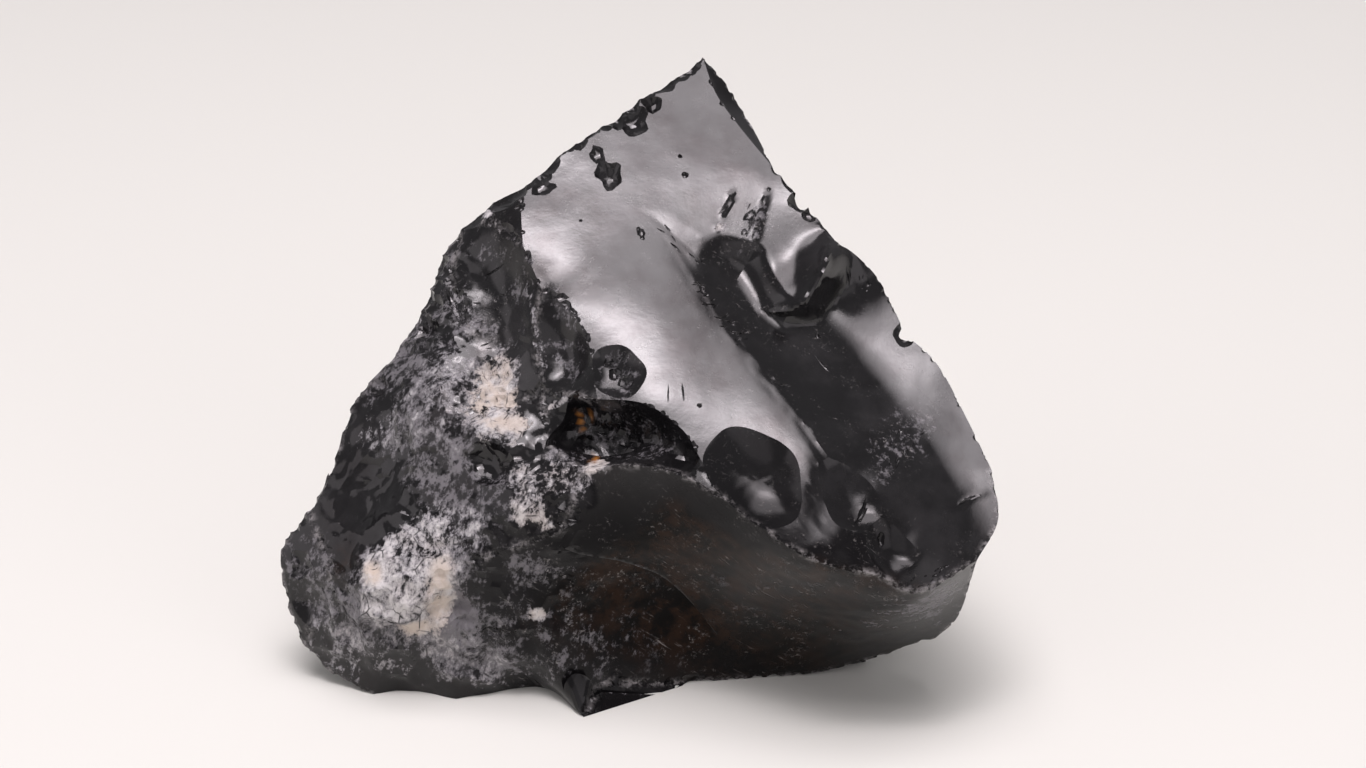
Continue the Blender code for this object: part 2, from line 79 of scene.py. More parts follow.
CORNERS = {
    "apex": (3.8, 19.8, 6.5),
    "shoulder": (8.0, 13.2, 3.2),
    "side edge": (6.2, 16.6, 6.4),
    "right crest": (11.8, 8.7, 1.1),
    "notch": (16.1, 3.0, 1.1),
    "right corner": (21.3, -5.2, -3.0),
    "brow end": (20.4, -10.7, -5.6),
    "right heel": (17.9, -15.4, 3.0),
    "brow middle": (5.2, -7.0, -6.8),
    "brow start": (-3.5, -5.3, -4.4),
    "crest left": (-7.2, 11.9, 2.0),
    "crack top": (-7.1, 8.4, 0.25),
    "crack bend": (-6.0, 5.8, -0.8),
    "bubble": (-2.6, -0.9, -3.9),
    "fold": (-5.9, -0.5, -1.6),
    "left crest": (-10.9, 9.3, 4.2),
    "dark corner": (-9.7, 2.1, 0.8),
    "crust corner": (-8.4, -1.2, -0.5),
    "scar corner": (-5.8, -3.4, -2.6),
    "left edge": (-15.3, 1.2, 3.2),
    "tip top": (-20.1, -7.6, 2.6),
    "tip": (-21.8, -10.7, 3.0),
    "tip foot": (-20.4, -15.8, 3.6),
    "tip inner": (-18.6, -11.6, 0.4),
    "belly": (-14.3, -8.4, -0.9),
    "belly right": (-8.5, -10.2, -3.0),
    "keel top": (-12.4, -11.5, -1.8),
    "keel foot": (-10.5, -16.2, 0.9),
    "foot top": (-2.4, -18.1, 2.2),
}
HIDDEN_CORNERS = {
    "ground front": (3.7, -8.2, 0.0),
    "ground foot": (-3.0, -12.2, 0.0),
    "ground left front": (-10.9, -10.2, 0.0),
    "ground left": (-16.2, -9.6, 0.0),
    "ground back left": (-14.0, 2.5, 0.0),
    "ground back": (-3.5, 10.5, 0.0),
    "ground back right": (10.0, 6.0, 0.0),
    "ground right": (14.5, -5.8, 0.0),
    "back crown": (1.5, 15.8, 20.5),
    "back left": (-12.5, 7.5, 12.5),
    "back right": (13.5, 9.0, 11.5),
}
BENDS = {
    ("apex", "crest left"): [(-0.8, 16.8, 4.6), (-4.3, 14.4, 3.2)],
    ("crest left", "crack top"): [(-7.2, 10.2, 1.1)],
    ("crack bend", "bubble"): [(-4.4, 4.8, -1.6), (-3.1, 2.4, -2.7)],
    ("bubble", "brow middle"): [(0.3, -1.2, -4.5), (2.6, -2.8, -5.2), (3.7, -4.6, -5.9)],
    ("brow middle", "brow end"): [
        (9.1, -9.9, -8.0), (11.8, -11.1, -8.1), (14.4, -11.6, -7.6), (16.9, -12.6, -7.0),
    ],
    ("apex", "shoulder"): [(4.6, 17.6, 5.35), (6.1, 15.5, 4.3)],
    ("apex", "side edge"): [(5.2, 18.2, 6.6)],
    ("side edge", "shoulder"): [(7.2, 14.8, 5.0)],
    ("shoulder", "right crest"): [(9.8, 11.2, 2.2)],
    ("right crest", "notch"): [(13.2, 7.7, 1.9), (14.6, 6.1, 2.3)],
    ("notch", "right corner"): [(18.0, 1.2, 0.2), (19.7, -1.9, -1.1)],
    ("right corner", "brow end"): [(21.7, -8.2, -4.4)],
    ("brow end", "right heel"): [(19.3, -14.0, 0.4)],
    ("right heel", "ground front"): [(14.2, -16.6, 4.6), (10.6, -17.5, 4.9), (7.0, -17.8, 4.7)],
    ("brow start", "brow middle"): [(-0.8, -4.9, -5.8), (2.2, -5.4, -6.3)],
    ("crack bend", "fold"): [(-6.4, 3.0, -1.0)],
    ("left crest", "crack top"): [(-9.2, 9.9, 2.4)],
    ("crest left", "left crest"): [(-9.0, 11.3, 3.2)],
    ("left crest", "left edge"): [(-12.1, 7.6, 4.6), (-13.4, 4.2, 4.0)],
    ("left crest", "dark corner"): [(-11.4, 5.8, 2.6)],
    ("left edge", "tip top"): [(-17.4, -1.2, 3.4), (-18.6, -4.8, 3.0)],
    ("tip top", "tip"): [(-21.6, -9.6, 2.9)],
    ("tip", "tip foot"): [(-21.5, -13.0, 3.1)],
    ("tip foot", "ground left"): [(-18.6, -17.6, 3.6)],
    ("brow start", "belly right"): [(-4.8, -8.6, -4.3)],
    ("keel top", "keel foot"): [(-11.2, -13.4, -0.9)],
}
HIDDEN_BENDS = {
    ("ground left front", "ground foot"): [(-5.8, -8.8, 0.0)],
    ("apex", "back crown"): [(3.2, 13.8, 28.0)],
    ("back crown", "ground back"): [(-0.5, 14.6, 9.5)],
    ("back right", "ground back right"): [(11.6, 8.4, 5.0)],
    ("back left", "ground back left"): [(-14.6, 5.8, 5.5)],
    ("ground left front", "ground left"): [(-13.4, -9.2, 0.0)],
    ("back crown", "back left"): [(-5.5, 12.4, 17.6)],
    ("right heel", "ground right"): [(14.6, -5.6, 1.2)],
}

# Faces in view: the corners round each, and points that its sheet passes through
SEEN_FACES = {
    "upper face": (
        ["apex", "crest left", "crack top", "crack bend", "bubble", "brow middle", "brow end",
         "right corner", "notch", "right crest", "shoulder"],
        [(0.6, 13.0, 2.7), (-2.0, 8.0, 0.0), (2.0, 5.0, -1.4), (5.0, 1.0, -3.3), (8.0, -3.0, -5.3),
         (10.0, 7.0, 0.0), (14.0, -1.0, -4.0), (17.5, -7.5, -7.2), (7.0, 13.0, 3.0),
         (11.0, 3.0, -2.0)],
    ),
    "side strip": (["apex", "shoulder", "side edge"], []),
    "crest scar": (["crest left", "left crest", "crack top"], []),
    "dark hollow": (
        ["left crest", "dark corner", "crust corner", "fold", "crack bend", "crack top"],
        [(-8.8, 6.4, 2.2), (-8.3, 2.6, 1.0)],
    ),
    "smooth hollow": (["crack bend", "fold", "bubble"], [(-4.5, 2.4, -1.0), (-4.2, 0.6, -1.6)]),
    "black scar": (
        ["fold", "scar corner", "brow start", "brow middle", "bubble"],
        [(-3.4, -2.6, -1.6), (1.0, -3.2, -3.0), (3.0, -4.6, -4.6), (-1.2, -2.2, -2.2)],
    ),
    "crushed upper": (
        ["left crest", "left edge", "tip top", "tip inner", "belly", "belly right", "brow start",
         "scar corner", "fold", "crust corner", "dark corner"],
        [(-11.6, 1.0, 0.4), (-9.2, -2.6, -2.2), (-12.2, -3.8, -0.9), (-16.2, -5.4, 1.1),
         (-5.4, -6.6, -4.4), (-9.6, -6.4, -1.9)],
    ),
    "crushed lower": (
        ["tip inner", "tip foot", "ground left", "ground left front", "keel foot", "keel top",
         "belly"],
        [(-16.4, -11.4, -0.6), (-14.4, -14.6, 0.0)],
    ),
    "tip face": (["tip top", "tip", "tip foot", "tip inner"], [(-20.4, -11.4, 2.0)]),
    "keel face": (["belly", "keel top", "belly right"], []),
    "lower face": (
        ["brow start", "belly right", "keel top", "keel foot", "ground left front", "ground foot",
         "foot top", "ground front", "right heel", "brow end", "brow middle"],
        [(-4.4, -13.0, -0.8), (1.6, -11.4, -1.4), (7.0, -13.6, -0.6), (12.0, -14.2, -1.6),
         (-8.4, -14.6, -0.4), (16.6, -14.0, -2.4)],
    ),
    "foot": (["ground foot", "ground front", "foot top"], []),
}

# Faces out of sight: the corners round each, and how deep its middle is hollowed
HIDDEN_FACES = {
    "under right": (["ground front", "ground right", "right heel"], 0.2),
    "right back": (
        ["right corner", "brow end", "right heel", "ground right", "ground back right",
         "back right", "notch"],
        1.6,
    ),
    "upper right back": (
        ["apex", "side edge", "shoulder", "right crest", "notch", "back right", "back crown"],
        1.8,
    ),
    "back": (["back crown", "back right", "ground back right", "ground back"], 1.6),
    "upper left back": (
        ["apex", "back crown", "back left", "left edge", "left crest", "crest left"],
        1.6,
    ),
    "left back": (["back crown", "ground back", "ground back left", "back left"], 1.5),
    "left side": (
        ["left edge", "back left", "ground back left", "ground left", "tip foot", "tip",
         "tip top"],
        1.6,
    ),
    "base": (
        ["ground front", "ground foot", "ground left front", "ground left", "ground back left",
         "ground back", "ground back right", "ground right"],
        0.0,
    ),
}

# The long ramp down the upper face, and the line it starts under
RAMP_LINE = ((5.2, 8.2), (19.0, -10.4))
RAMP_HALF_WIDTH = 2.7
RAMP_BEND = 0.35
RAMP_DROP = 3.1
RAMP_START = [
    (0.5, 8.4), (3.4, 6.9), (5.0, 7.4), (6.4, 7.2), (7.1, 6.0), (7.8, 4.9), (8.8, 4.1),
    (10.4, 4.4), (11.8, 6.4), (12.5, 10.0),
]
RAMP_FADE_LEFT = 2.3
RAMP_FADE_RIGHT = 1.0
RAMP_FADE_TURN = 1.4
RAMP_WIDENS = 3.4
RAMP_WIDENS_FROM = -3.0
RAMP_WIDENS_OVER = 6.0
HACKLE = 0.24
HACKLE_REACH = 0.9
HACKLE_LENGTH = 2.4
HACKLE_WIDTH = 0.5
HACKLE_LAYER = 7.7

# The faint fold across it, which the light runs along
FOLD_LINE = ((-3.2, 8.2), (3.9, 2.2))
FOLD_SLOPE = 0.085
FOLD_BEND = 0.45
FOLD_REACH = 6.0
FOLD_TOP = 8.6
FOLD_TOP_BEND = 0.7

# Lips where a crack halted or a flake hung on: the course, the rise, and how far it falls away on
# the left and on the right
LIPS = {
    "crescent": (
        [(11.4, 9.9), (11.5, 8.6), (11.3, 7.2), (10.8, 5.9), (10.1, 4.95), (9.2, 4.4), (8.0, 4.4),
         (6.9, 4.9)],
        0.32, 0.3, 0.8,
    ),
    "fin": ([(5.0, 9.9), (5.5, 11.0), (5.75, 11.8)], 0.16, 0.35, 0.15),
    "shoulder crack": ([(7.8, 12.0), (7.3, 10.4), (7.0, 9.0), (6.6, 8.2)], 0.12, 0.4, 0.2),
    "scratch": ([(0.2, 10.6), (1.6, 9.4), (2.9, 8.3), (3.8, 7.4)], -0.02, 0.25, 0.15),
    "right sliver": ([(19.0, -7.4), (20.2, -6.8), (21.2, -6.4)], 0.05, 0.15, 0.35),
}
LIP_END = 0.25

# Smooth swells and hollows: across, up, half length, half width, turn, rise
SWELLS = [
    (14.6, -7.4, 3.0, 1.6, 70.0, 0.5),
    (12.0, -9.0, 2.4, 1.2, 60.0, 0.35),
    (17.0, -10.2, 2.2, 1.2, 80.0, 0.35),
    (-9.3, -7.4, 3.2, 2.6, 10.0, 0.9),
    (-12.6, -1.2, 3.4, 2.0, 60.0, 0.6),
    (-14.8, -12.2, 3.2, 2.2, 40.0, 0.7),
    (-10.2, 4.0, 2.6, 1.6, 80.0, 0.4),
    (4.0, -13.0, 8.0, 3.2, 155.0, -0.5),
    (9.0, 7.2, 2.0, 1.6, 50.0, -0.25),
]
WAVER = 0.022
WAVER_LENGTH = 3.2
WAVER_LAYER = 0.3

# Ripples of the hidden faces, which spread from where each crack started
RIPPLE_RISE = 0.035
RIPPLE_LENGTH = 1.9
RIPPLE_CALM = 1.2


def seen(places):
    """Places as they are seen from the front, turned into points of the stone in mm, as rows."""
    across, up, back = np.asarray(places, dtype=float).T
    reach = 1.0 + back / EYE_DISTANCE
    tilt = math.radians(EYE_TILT)
    x = EYE_ACROSS + (across - EYE_ACROSS) * reach + PLANE_ACROSS
    y = back * math.cos(tilt) + up * reach * math.sin(tilt) + PLANE_DEPTH
    z = up * reach * math.cos(tilt) - back * math.sin(tilt) + PLANE_HEIGHT
    return np.column_stack([x, y, z])


def sight(points):
    """The other way: across, up and back of points of the stone, as rows."""
    tilt = math.radians(EYE_TILT)
    x, y, z = np.asarray(points, dtype=float).T - [[PLANE_ACROSS], [PLANE_DEPTH], [PLANE_HEIGHT]]
    back = y * math.cos(tilt) - z * math.sin(tilt)
    reach = 1.0 + back / EYE_DISTANCE
    up = (y * math.sin(tilt) + z * math.cos(tilt)) / reach
    return np.column_stack([EYE_ACROSS + (x - EYE_ACROSS) / reach, up, back])


def smooth_step(share):
    share = np.clip(share, 0.0, 1.0)
    return share * share * (3.0 - 2.0 * share)


def beside_line(across, up, line):
    """How far places lie to the left of a line, looking along it."""
    run = np.subtract(line[1], line[0])
    run = run / np.linalg.norm(run)
    return run[0] * (up - line[0][1]) - run[1] * (across - line[0][0])


def beside_course(across, up, course):
    """How far places lie from a course of points, less than 0 on its right, and how far along."""
    points = np.array(course)
    runs = np.diff(points, axis=0)
    lengths = np.linalg.norm(runs, axis=1)
    starts = np.append(0.0, np.cumsum(lengths))
    nearest = np.full(np.shape(across), np.inf)
    side = np.ones(np.shape(across))
    onward = np.zeros(np.shape(across))
    for start, run, length, before in zip(points, runs, lengths, starts):
        east = across - start[0]
        north = up - start[1]
        share = np.clip((east * run[0] + north * run[1]) / length ** 2, 0.0, 1.0)
        gap = np.hypot(east - share * run[0], north - share * run[1])
        closer = gap < nearest
        nearest = np.where(closer, gap, nearest)
        side = np.where(closer, np.sign(run[0] * north - run[1] * east), side)
        onward = np.where(closer, before + share * length, onward)
    return side * nearest, onward / starts[-1]


def soft_ramp(run, bend):
    """A ramp that starts at 0 and bends softly into its slope."""
    return bend * np.logaddexp(0.0, run / bend)


def oval(across, up, middle_across, middle_up, half_length, half_width, turn):
    """How far out places lie from the middle of a turned oval: 1 on its rim."""
    angle = math.radians(turn)
    east = across - middle_across
    north = up - middle_up
    long = (east * math.cos(angle) + north * math.sin(angle)) / half_length
    wide = (north * math.cos(angle) - east * math.sin(angle)) / half_width
    return np.sqrt(long * long + wide * wide)


def streaks(across, up):
    """Noise drawn out along the ramp, for the feathered edge that a fast crack leaves."""
    top, foot = RAMP_LINE
    square = (top[0] + top[1] - foot[1], top[1] + foot[0] - top[0])
    left = beside_line(across, up, RAMP_LINE)
    onward = beside_line(across, up, (top, square))
    spots = zip(np.ravel(onward) / HACKLE_LENGTH, np.ravel(left) / HACKLE_WIDTH)
    return np.array([noise.fractal(Vector((a, b, HACKLE_LAYER)), 0.8, 2.1, 3) for a, b in spots])


def ramp(across, up):
    wider = RAMP_WIDENS * smooth_step((RAMP_WIDENS_FROM - up) / RAMP_WIDENS_OVER)
    right = RAMP_HALF_WIDTH + wider + beside_line(across, up, RAMP_LINE)
    right = right + HACKLE * np.exp(-(right / HACKLE_REACH) ** 2) * streaks(across, up)
    level = soft_ramp(right, RAMP_BEND) - soft_ramp(right - 2 * RAMP_HALF_WIDTH - wider, RAMP_BEND)
    aside, share = beside_course(across, up, RAMP_START)
    sharper = smooth_step(share * RAMP_FADE_TURN)
    reach = RAMP_FADE_LEFT + (RAMP_FADE_RIGHT - RAMP_FADE_LEFT) * sharper
    fade = smooth_step((reach - aside) / (2 * reach))
    return -RAMP_DROP * fade * level / (2 * RAMP_HALF_WIDTH + wider)


def fold(across, up):
    below = -beside_line(across, up, FOLD_LINE)
    left = below - soft_ramp(below - (FOLD_TOP - up), FOLD_TOP_BEND)
    return -FOLD_SLOPE * (soft_ramp(left, FOLD_BEND) - soft_ramp(left - FOLD_REACH, FOLD_BEND))


def lips(across, up):
    """Sharp lips along short courses, which fade out towards both ends."""
    proud = 0.0
    for course, rise, left_fall, right_fall in LIPS.values():
        aside, share = beside_course(across, up, course)
        fall = np.where(aside > 0.0, left_fall, right_fall)
        ends = smooth_step(share / LIP_END) * smooth_step((1.0 - share) / LIP_END)
        proud = proud + rise * ends * smooth_step(1.0 - np.abs(aside) / fall)
    return proud


def swells(across, up):
    proud = 0.0
    for *place, rise in SWELLS:
        proud = proud + rise * np.exp(-oval(across, up, *place) ** 2)
    return proud


def waver(across, up):
    """The slight unevenness that no crack in glass is without."""
    spots = zip(np.ravel(across) / WAVER_LENGTH, np.ravel(up) / WAVER_LENGTH)
    return WAVER * np.array(
        [noise.fractal(Vector((a, b, WAVER_LAYER)), 1.0, 2.0, 3) for a, b in spots]
    )


def eased(points, reliefs, share):
    """Points moved along the line of sight by a share of the reliefs there."""
    places = sight(points)
    for relief in reliefs:
        places[:, 2] -= share * relief(places[:, 0], places[:, 1])
    return seen(places)


def smooth_course(points, spacing):
    """Points about one spacing apart along a smooth curve through the given points."""
    run = np.vstack([points[0] * 2 - points[1], points, points[-1] * 2 - points[-2]])
    t = np.linspace(0.0, 1.0, CURVE_STEPS, endpoint=False)[:, None]
    fine = np.vstack([
        start
        + (end - before) * (t / 2)
        + (before * 2 - start * 5 + end * 4 - after) * (t * t / 2)
        + (start * 3 - before - end * 3 + after) * (t ** 3 / 2)
        for before, start, end, after in zip(run, run[1:], run[2:], run[3:])
    ] + [points[-1]])
    lengths = np.append(0.0, np.cumsum(np.linalg.norm(np.diff(fine, axis=0), axis=1)))
    count = max(2, round(lengths[-1] / spacing))
    places = np.linspace(0.0, lengths[-1], count + 1)
    return np.column_stack([np.interp(places, lengths, fine[:, axis]) for axis in range(3)])


def bent_sheet(anchors, heights):
    """The height of a thin springy sheet that passes through every anchor."""
    def pull(distance):
        return distance ** 2 * np.log(distance + 1e-9)

    count = len(anchors)
    flat = np.column_stack([np.ones(count), anchors])
    gaps = np.linalg.norm(anchors[:, None] - anchors[None], axis=2)
    system = np.block([[pull(gaps), flat], [flat.T, np.zeros((3, 3))]])
    weights = np.linalg.solve(system, np.concatenate([heights, np.zeros(3)]))

    def height(places):
        rows = []
        for some in np.array_split(places, 1 + len(places) // AT_ONCE):
            gaps = np.linalg.norm(some[:, None] - anchors[None], axis=2)
            rows.append(pull(gaps) @ weights[:count] + weights[count] + some @ weights[count + 1:])
        return np.concatenate(rows)

    return height


def inside_points(rim, step):
    """Points of a hexagonal grid inside a closed rim, and how far each is from it."""
    low = rim.min(axis=0)
    high = rim.max(axis=0)
    rise = step * math.sqrt(0.75)
    rows = np.arange(low[1] + rise / 2, high[1], rise)
    grid = np.array([
        (x + (step / 2 if row % 2 else 0.0), y)
        for row, y in enumerate(rows)
        for x in np.arange(low[0], high[0], step)
    ])
    along = np.roll(rim, -1, axis=0) - rim
    rises = np.where(along[:, 1] == 0.0, 1.0, along[:, 1])
    kept = []
    for some in np.array_split(grid, 1 + len(grid) // AT_ONCE):
        offset = some[:, None] - rim[None]
        share = np.clip((offset * along).sum(axis=2) / (along ** 2).sum(axis=1), 0.0, 1.0)
        clear = np.linalg.norm(offset - share[..., None] * along, axis=2).min(axis=1)
        spans = (rim[:, 1] > some[:, None, 1]) != (rim[:, 1] + along[:, 1] > some[:, None, 1])
        crossing = rim[:, 0] + (some[:, None, 1] - rim[:, 1]) * along[:, 0] / rises
        inside = (spans & (some[:, None, 0] < crossing)).sum(axis=1) % 2 == 1
        kept.append(np.column_stack([some, clear])[inside & (clear > step * RIM_CLEARANCE)])
    return np.concatenate(kept)


class Skin:
    """The stone's closed skin while its faces are being laid."""

    def __init__(self):
        self.points = []
        self.faces = []
        self.corners = {}
        for name, place in zip(CORNERS, seen(list(CORNERS.values()))):
            self.corners[name] = self.add(place)
        for name, place in HIDDEN_CORNERS.items():
            self.corners[name] = self.add(np.array(place))
        self.bends = {ends: seen(run) for ends, run in BENDS.items()}
        self.bends.update({ends: np.array(run) for ends, run in HIDDEN_BENDS.items()})
        self.ridges = {}

    def add(self, point):
        self.points.append(point)
        return len(self.points) - 1

    def ridge(self, start, end):
        """The vertices along the ridge between two corners, made on first use."""
        if (start, end) not in self.ridges:
            bends = self.bends.get((start, end))
            if bends is None:
                bends = self.bends.get((end, start), np.empty((0, 3)))[::-1]
            first = self.points[self.corners[start]]
            last = self.points[self.corners[end]]
            course = smooth_course(np.vstack([first, bends, last]), RIDGE_STEP)
            run = [self.corners[start], *map(self.add, course[1:-1]), self.corners[end]]
            self.ridges[start, end] = run
            self.ridges[end, start] = run[::-1]
        return self.ridges[start, end]

    def lay_face(self, corners, through, hollow, reliefs, step):
        """Stretch one face inside its ridges, through its points or hollowed at its middle."""
        rim = []
        for start, end in zip(corners, corners[1:] + corners[:1]):
            rim += self.ridge(start, end)[:-1]
        ring = eased([self.points[number] for number in rim], reliefs, -1.0)
        middle = ring.mean(axis=0)
        outward = np.cross(ring - middle, np.roll(ring, -1, axis=0) - middle).sum(axis=0)
        outward /= np.linalg.norm(outward)
        right = np.cross((0.0, 0.0, 1.0), outward)
        if np.linalg.norm(right) < 0.1:
            right = np.array((1.0, 0.0, 0.0))
        right /= np.linalg.norm(right)
        axes = np.array((right, np.cross(outward, right), outward))
        local = (ring - middle) @ axes.T
        anchors = local[::3]
        if through:
            anchors = np.vstack([anchors, (seen(through) - middle) @ axes.T])
        if hollow:
            anchors = np.vstack([anchors, (0.0, 0.0, local[:, 2].mean() - hollow)])
        sheet = bent_sheet(anchors[:, :2], anchors[:, 2])
        inner = inside_points(local[:, :2], step)
        flat = np.vstack([local[:, :2], inner[:, :2]])
        if len(inner):
            height = sheet(inner[:, :2])
            if hollow:
                spread = np.linalg.norm(inner[:, :2] - local[0, :2], axis=1)
                calm = smooth_step(inner[:, 2] / RIPPLE_CALM)
                height += RIPPLE_RISE * calm * np.sin(math.tau * spread / RIPPLE_LENGTH)
            lifted = np.column_stack([inner[:, :2], height]) @ axes + middle
            rim = rim + [self.add(point) for point in eased(lifted, reliefs, 1.0)]
        loop = [list(range(len(local)))]
        found = geometry.delaunay_2d_cdt([Vector(p) for p in flat], [], loop, 1, 1e-7)
        for triangle in found[2]:
            self.faces.append([rim[found[3][corner][0]] for corner in triangle])


skin = Skin()
for name, (corners, through) in SEEN_FACES.items():
    reliefs = (ramp, fold, lips, swells, waver) if name == "upper face" else (swells, waver)
    step = FINE_STEP if name in ("upper face", "crushed upper", "crushed lower") else SEEN_STEP
    skin.lay_face(corners, through, 0.0, reliefs, step)
for corners, hollow in HIDDEN_FACES.values():
    skin.lay_face(corners, [], hollow, (), HIDDEN_STEP)
skin_mesh = bpy.data.meshes.new("obsidian")
skin_mesh.from_pydata([Vector(p * MM) for p in skin.points], [], skin.faces)
skin_mesh.validate()
work = bmesh.new()
work.from_mesh(skin_mesh)
bmesh.ops.recalc_face_normals(work, faces=work.faces)
work.to_mesh(skin_mesh)
work.free()
stone = bpy.data.objects.new("obsidian", skin_mesh)
bpy.context.scene.collection.objects.link(stone)

# The flake scars
# Where flakes of glass were struck or knocked off, each left a shallow dished scar with a crisp
# rim and faint ripples that spread from the blow.

# Scars in view: across, up, width, depth, stretch, turn
SCARS = {
    "thumb bowl": (7.1, -5.6, 5.2, 0.74, 1.34, 128.0),
    "bubble scar": (-1.3, 0.8, 3.4, 0.42, 1.0, 0.0),
    "notch chip": (16.0, 3.0, 1.4, 0.4, 1.2, 100.0),
    "crest bowl": (-0.5, 16.0, 2.1, 0.45, 1.15, 140.0),
    "crest bowl beside": (0.7, 17.0, 1.3, 0.35, 1.1, 150.0),
    "dark bowl": (-1.9, 12.7, 1.7, 0.5, 1.2, 105.0),
    "shoulder chip": (9.8, 11.0, 1.3, 0.45, 1.0, 0.0),
    "amber bowl": (-2.9, -2.9, 3.2, 0.5, 1.0, 0.0),
    "left bowl": (-13.0, 3.4, 1.9, 0.6, 1.0, 0.0),
    "left lower bowl": (-15.8, -0.2, 1.6, 0.5, 1.0, 0.0),
    "smooth hollow in crust": (-16.0, -6.2, 4.6, 0.55, 1.3, 60.0),
    "crust pocket": (-9.2, -4.8, 2.8, 0.9, 1.3, 0.0),
    "lower pocket": (-11.6, -13.4, 2.4, 0.6, 1.2, 80.0),
    "knuckle upper": (13.0, -7.2, 3.6, 0.5, 1.3, 105.0),
    "knuckle lower": (14.9, -9.8, 2.6, 0.45, 1.4, 100.0),
    "lower sweep": (-2.0, -14.0, 6.4, 0.35, 1.4, 150.0),
    "tip swirl": (-20.6, -11.0, 1.9, 0.3, 1.2, 60.0),
    "tip facet": (-19.9, -13.2, 2.6, 0.25, 1.6, 110.0),
}

# Scars out of sight: bearing round the stone, height, width, depth, stretch, turn
HIDDEN_SCARS = {
    "back flake": (172.0, 15.0, 11.0, 1.3, 1.3, 80.0),
    "back flake low": (160.0, 5.5, 8.0, 0.9, 1.2, 20.0),
    "right flake": (112.0, 17.0, 9.0, 1.0, 1.2, 100.0),
    "right flake low": (96.0, 8.0, 7.0, 0.8, 1.3, 10.0),
    "back crest flake": (142.0, 26.0, 7.0, 0.8, 1.2, 60.0),
    "left flake": (238.0, 12.5, 9.5, 1.1, 1.2, 70.0),
    "left flake low": (262.0, 5.0, 6.5, 0.8, 1.3, 160.0),
    "left crest flake": (218.0, 22.0, 7.5, 0.9, 1.2, 120.0),
}
SCAR_REACH = 1.7
SCAR_MESH = 0.3
SCAR_RIPPLE = 0.0007
SCAR_SKEW = 0.34
SCAR_RINGS = (4, 24)
SCAR_SIDES = (14, 80)
SCAR_CLEARANCE = 1.25
SMALL_SCAR = 2.3
SMALL_ROUGH = 0.05
SMALL_UNEVEN = 0.13
LARGE_UNEVEN = 0.05
RIM_LOBES = (2, 3, 5)
RIM_LOBE_SIZES = (0.3, 1.0)
RIPPLE_GAPS = (0.13, 0.2)
OUTSIDE = 60.0
dice = random.Random(11)


def dish(work, place, outward, width, depth, stretch, turn):
    """Add a closed dished cutter to a mesh: its floor is the scar's floor."""
    turned = outward.to_track_quat("Z", "Y").to_matrix().to_4x4()
    turned = Matrix.Translation(place) @ turned @ Matrix.Rotation(math.radians(turn), 4, "Z")
    rings = round(float(np.clip(round(width / 2 * SCAR_REACH / SCAR_MESH), *SCAR_RINGS)))
    sides = round(float(np.clip(round(math.pi * width * stretch / SCAR_MESH), *SCAR_SIDES)))
    small = width < SMALL_SCAR
    uneven = SMALL_UNEVEN if small else LARGE_UNEVEN
    lobes = [
        (count, dice.uniform(0.0, math.tau), dice.uniform(*RIM_LOBE_SIZES) * uneven)
        for count in RIM_LOBES
    ]
    gap = width * dice.uniform(*RIPPLE_GAPS)
    circles = []
    for ring in range(1, rings + 1):
        share = SCAR_REACH * ring / rings
        circle = []
        for side in range(sides):
            angle = math.tau * side / sides
            waves = (size * math.sin(count * angle + start) for count, start, size in lobes)
            bulge = 1.0 + sum(waves)
            across = share * bulge * width / 2 * math.cos(angle) * stretch
            along = share * bulge * width / 2 * math.sin(angle)
            from_blow = math.hypot(across + width / 2 * stretch, along)
            ripple = SCAR_RIPPLE * width * math.sin(math.tau * from_blow / gap)
            steeper = 1.0 - SCAR_SKEW * share * math.cos(angle)
            if share > 1.0:
                steeper = max(steeper, 1.0)
            level = depth * (share ** 2 - 1) * steeper + ripple
            if small:
                spot = Vector((across, along, place.x * 9)) * (3 / width)
                level += SMALL_ROUGH * width * noise.noise(spot)
            circle.append(work.verts.new(turned @ Vector((across, along, level)) * MM))
        circles.append(circle)
    deepest = work.verts.new(turned @ Vector((0.0, 0.0, -depth)) * MM)
    for left, right in zip(circles[0], circles[0][1:] + circles[0][:1]):
        work.faces.new((deepest, right, left))
    for inner, outer in zip(circles, circles[1:]):
        for side in range(sides):
            after = (side + 1) % sides
            work.faces.new((inner[side], inner[after], outer[after]))
            work.faces.new((inner[side], outer[after], outer[side]))
    top = work.verts.new(turned @ Vector((0.0, 0.0, depth * SCAR_REACH ** 2)) * MM)
    for left, right in zip(circles[-1], circles[-1][1:] + circles[-1][:1]):
        work.faces.new((top, left, right))


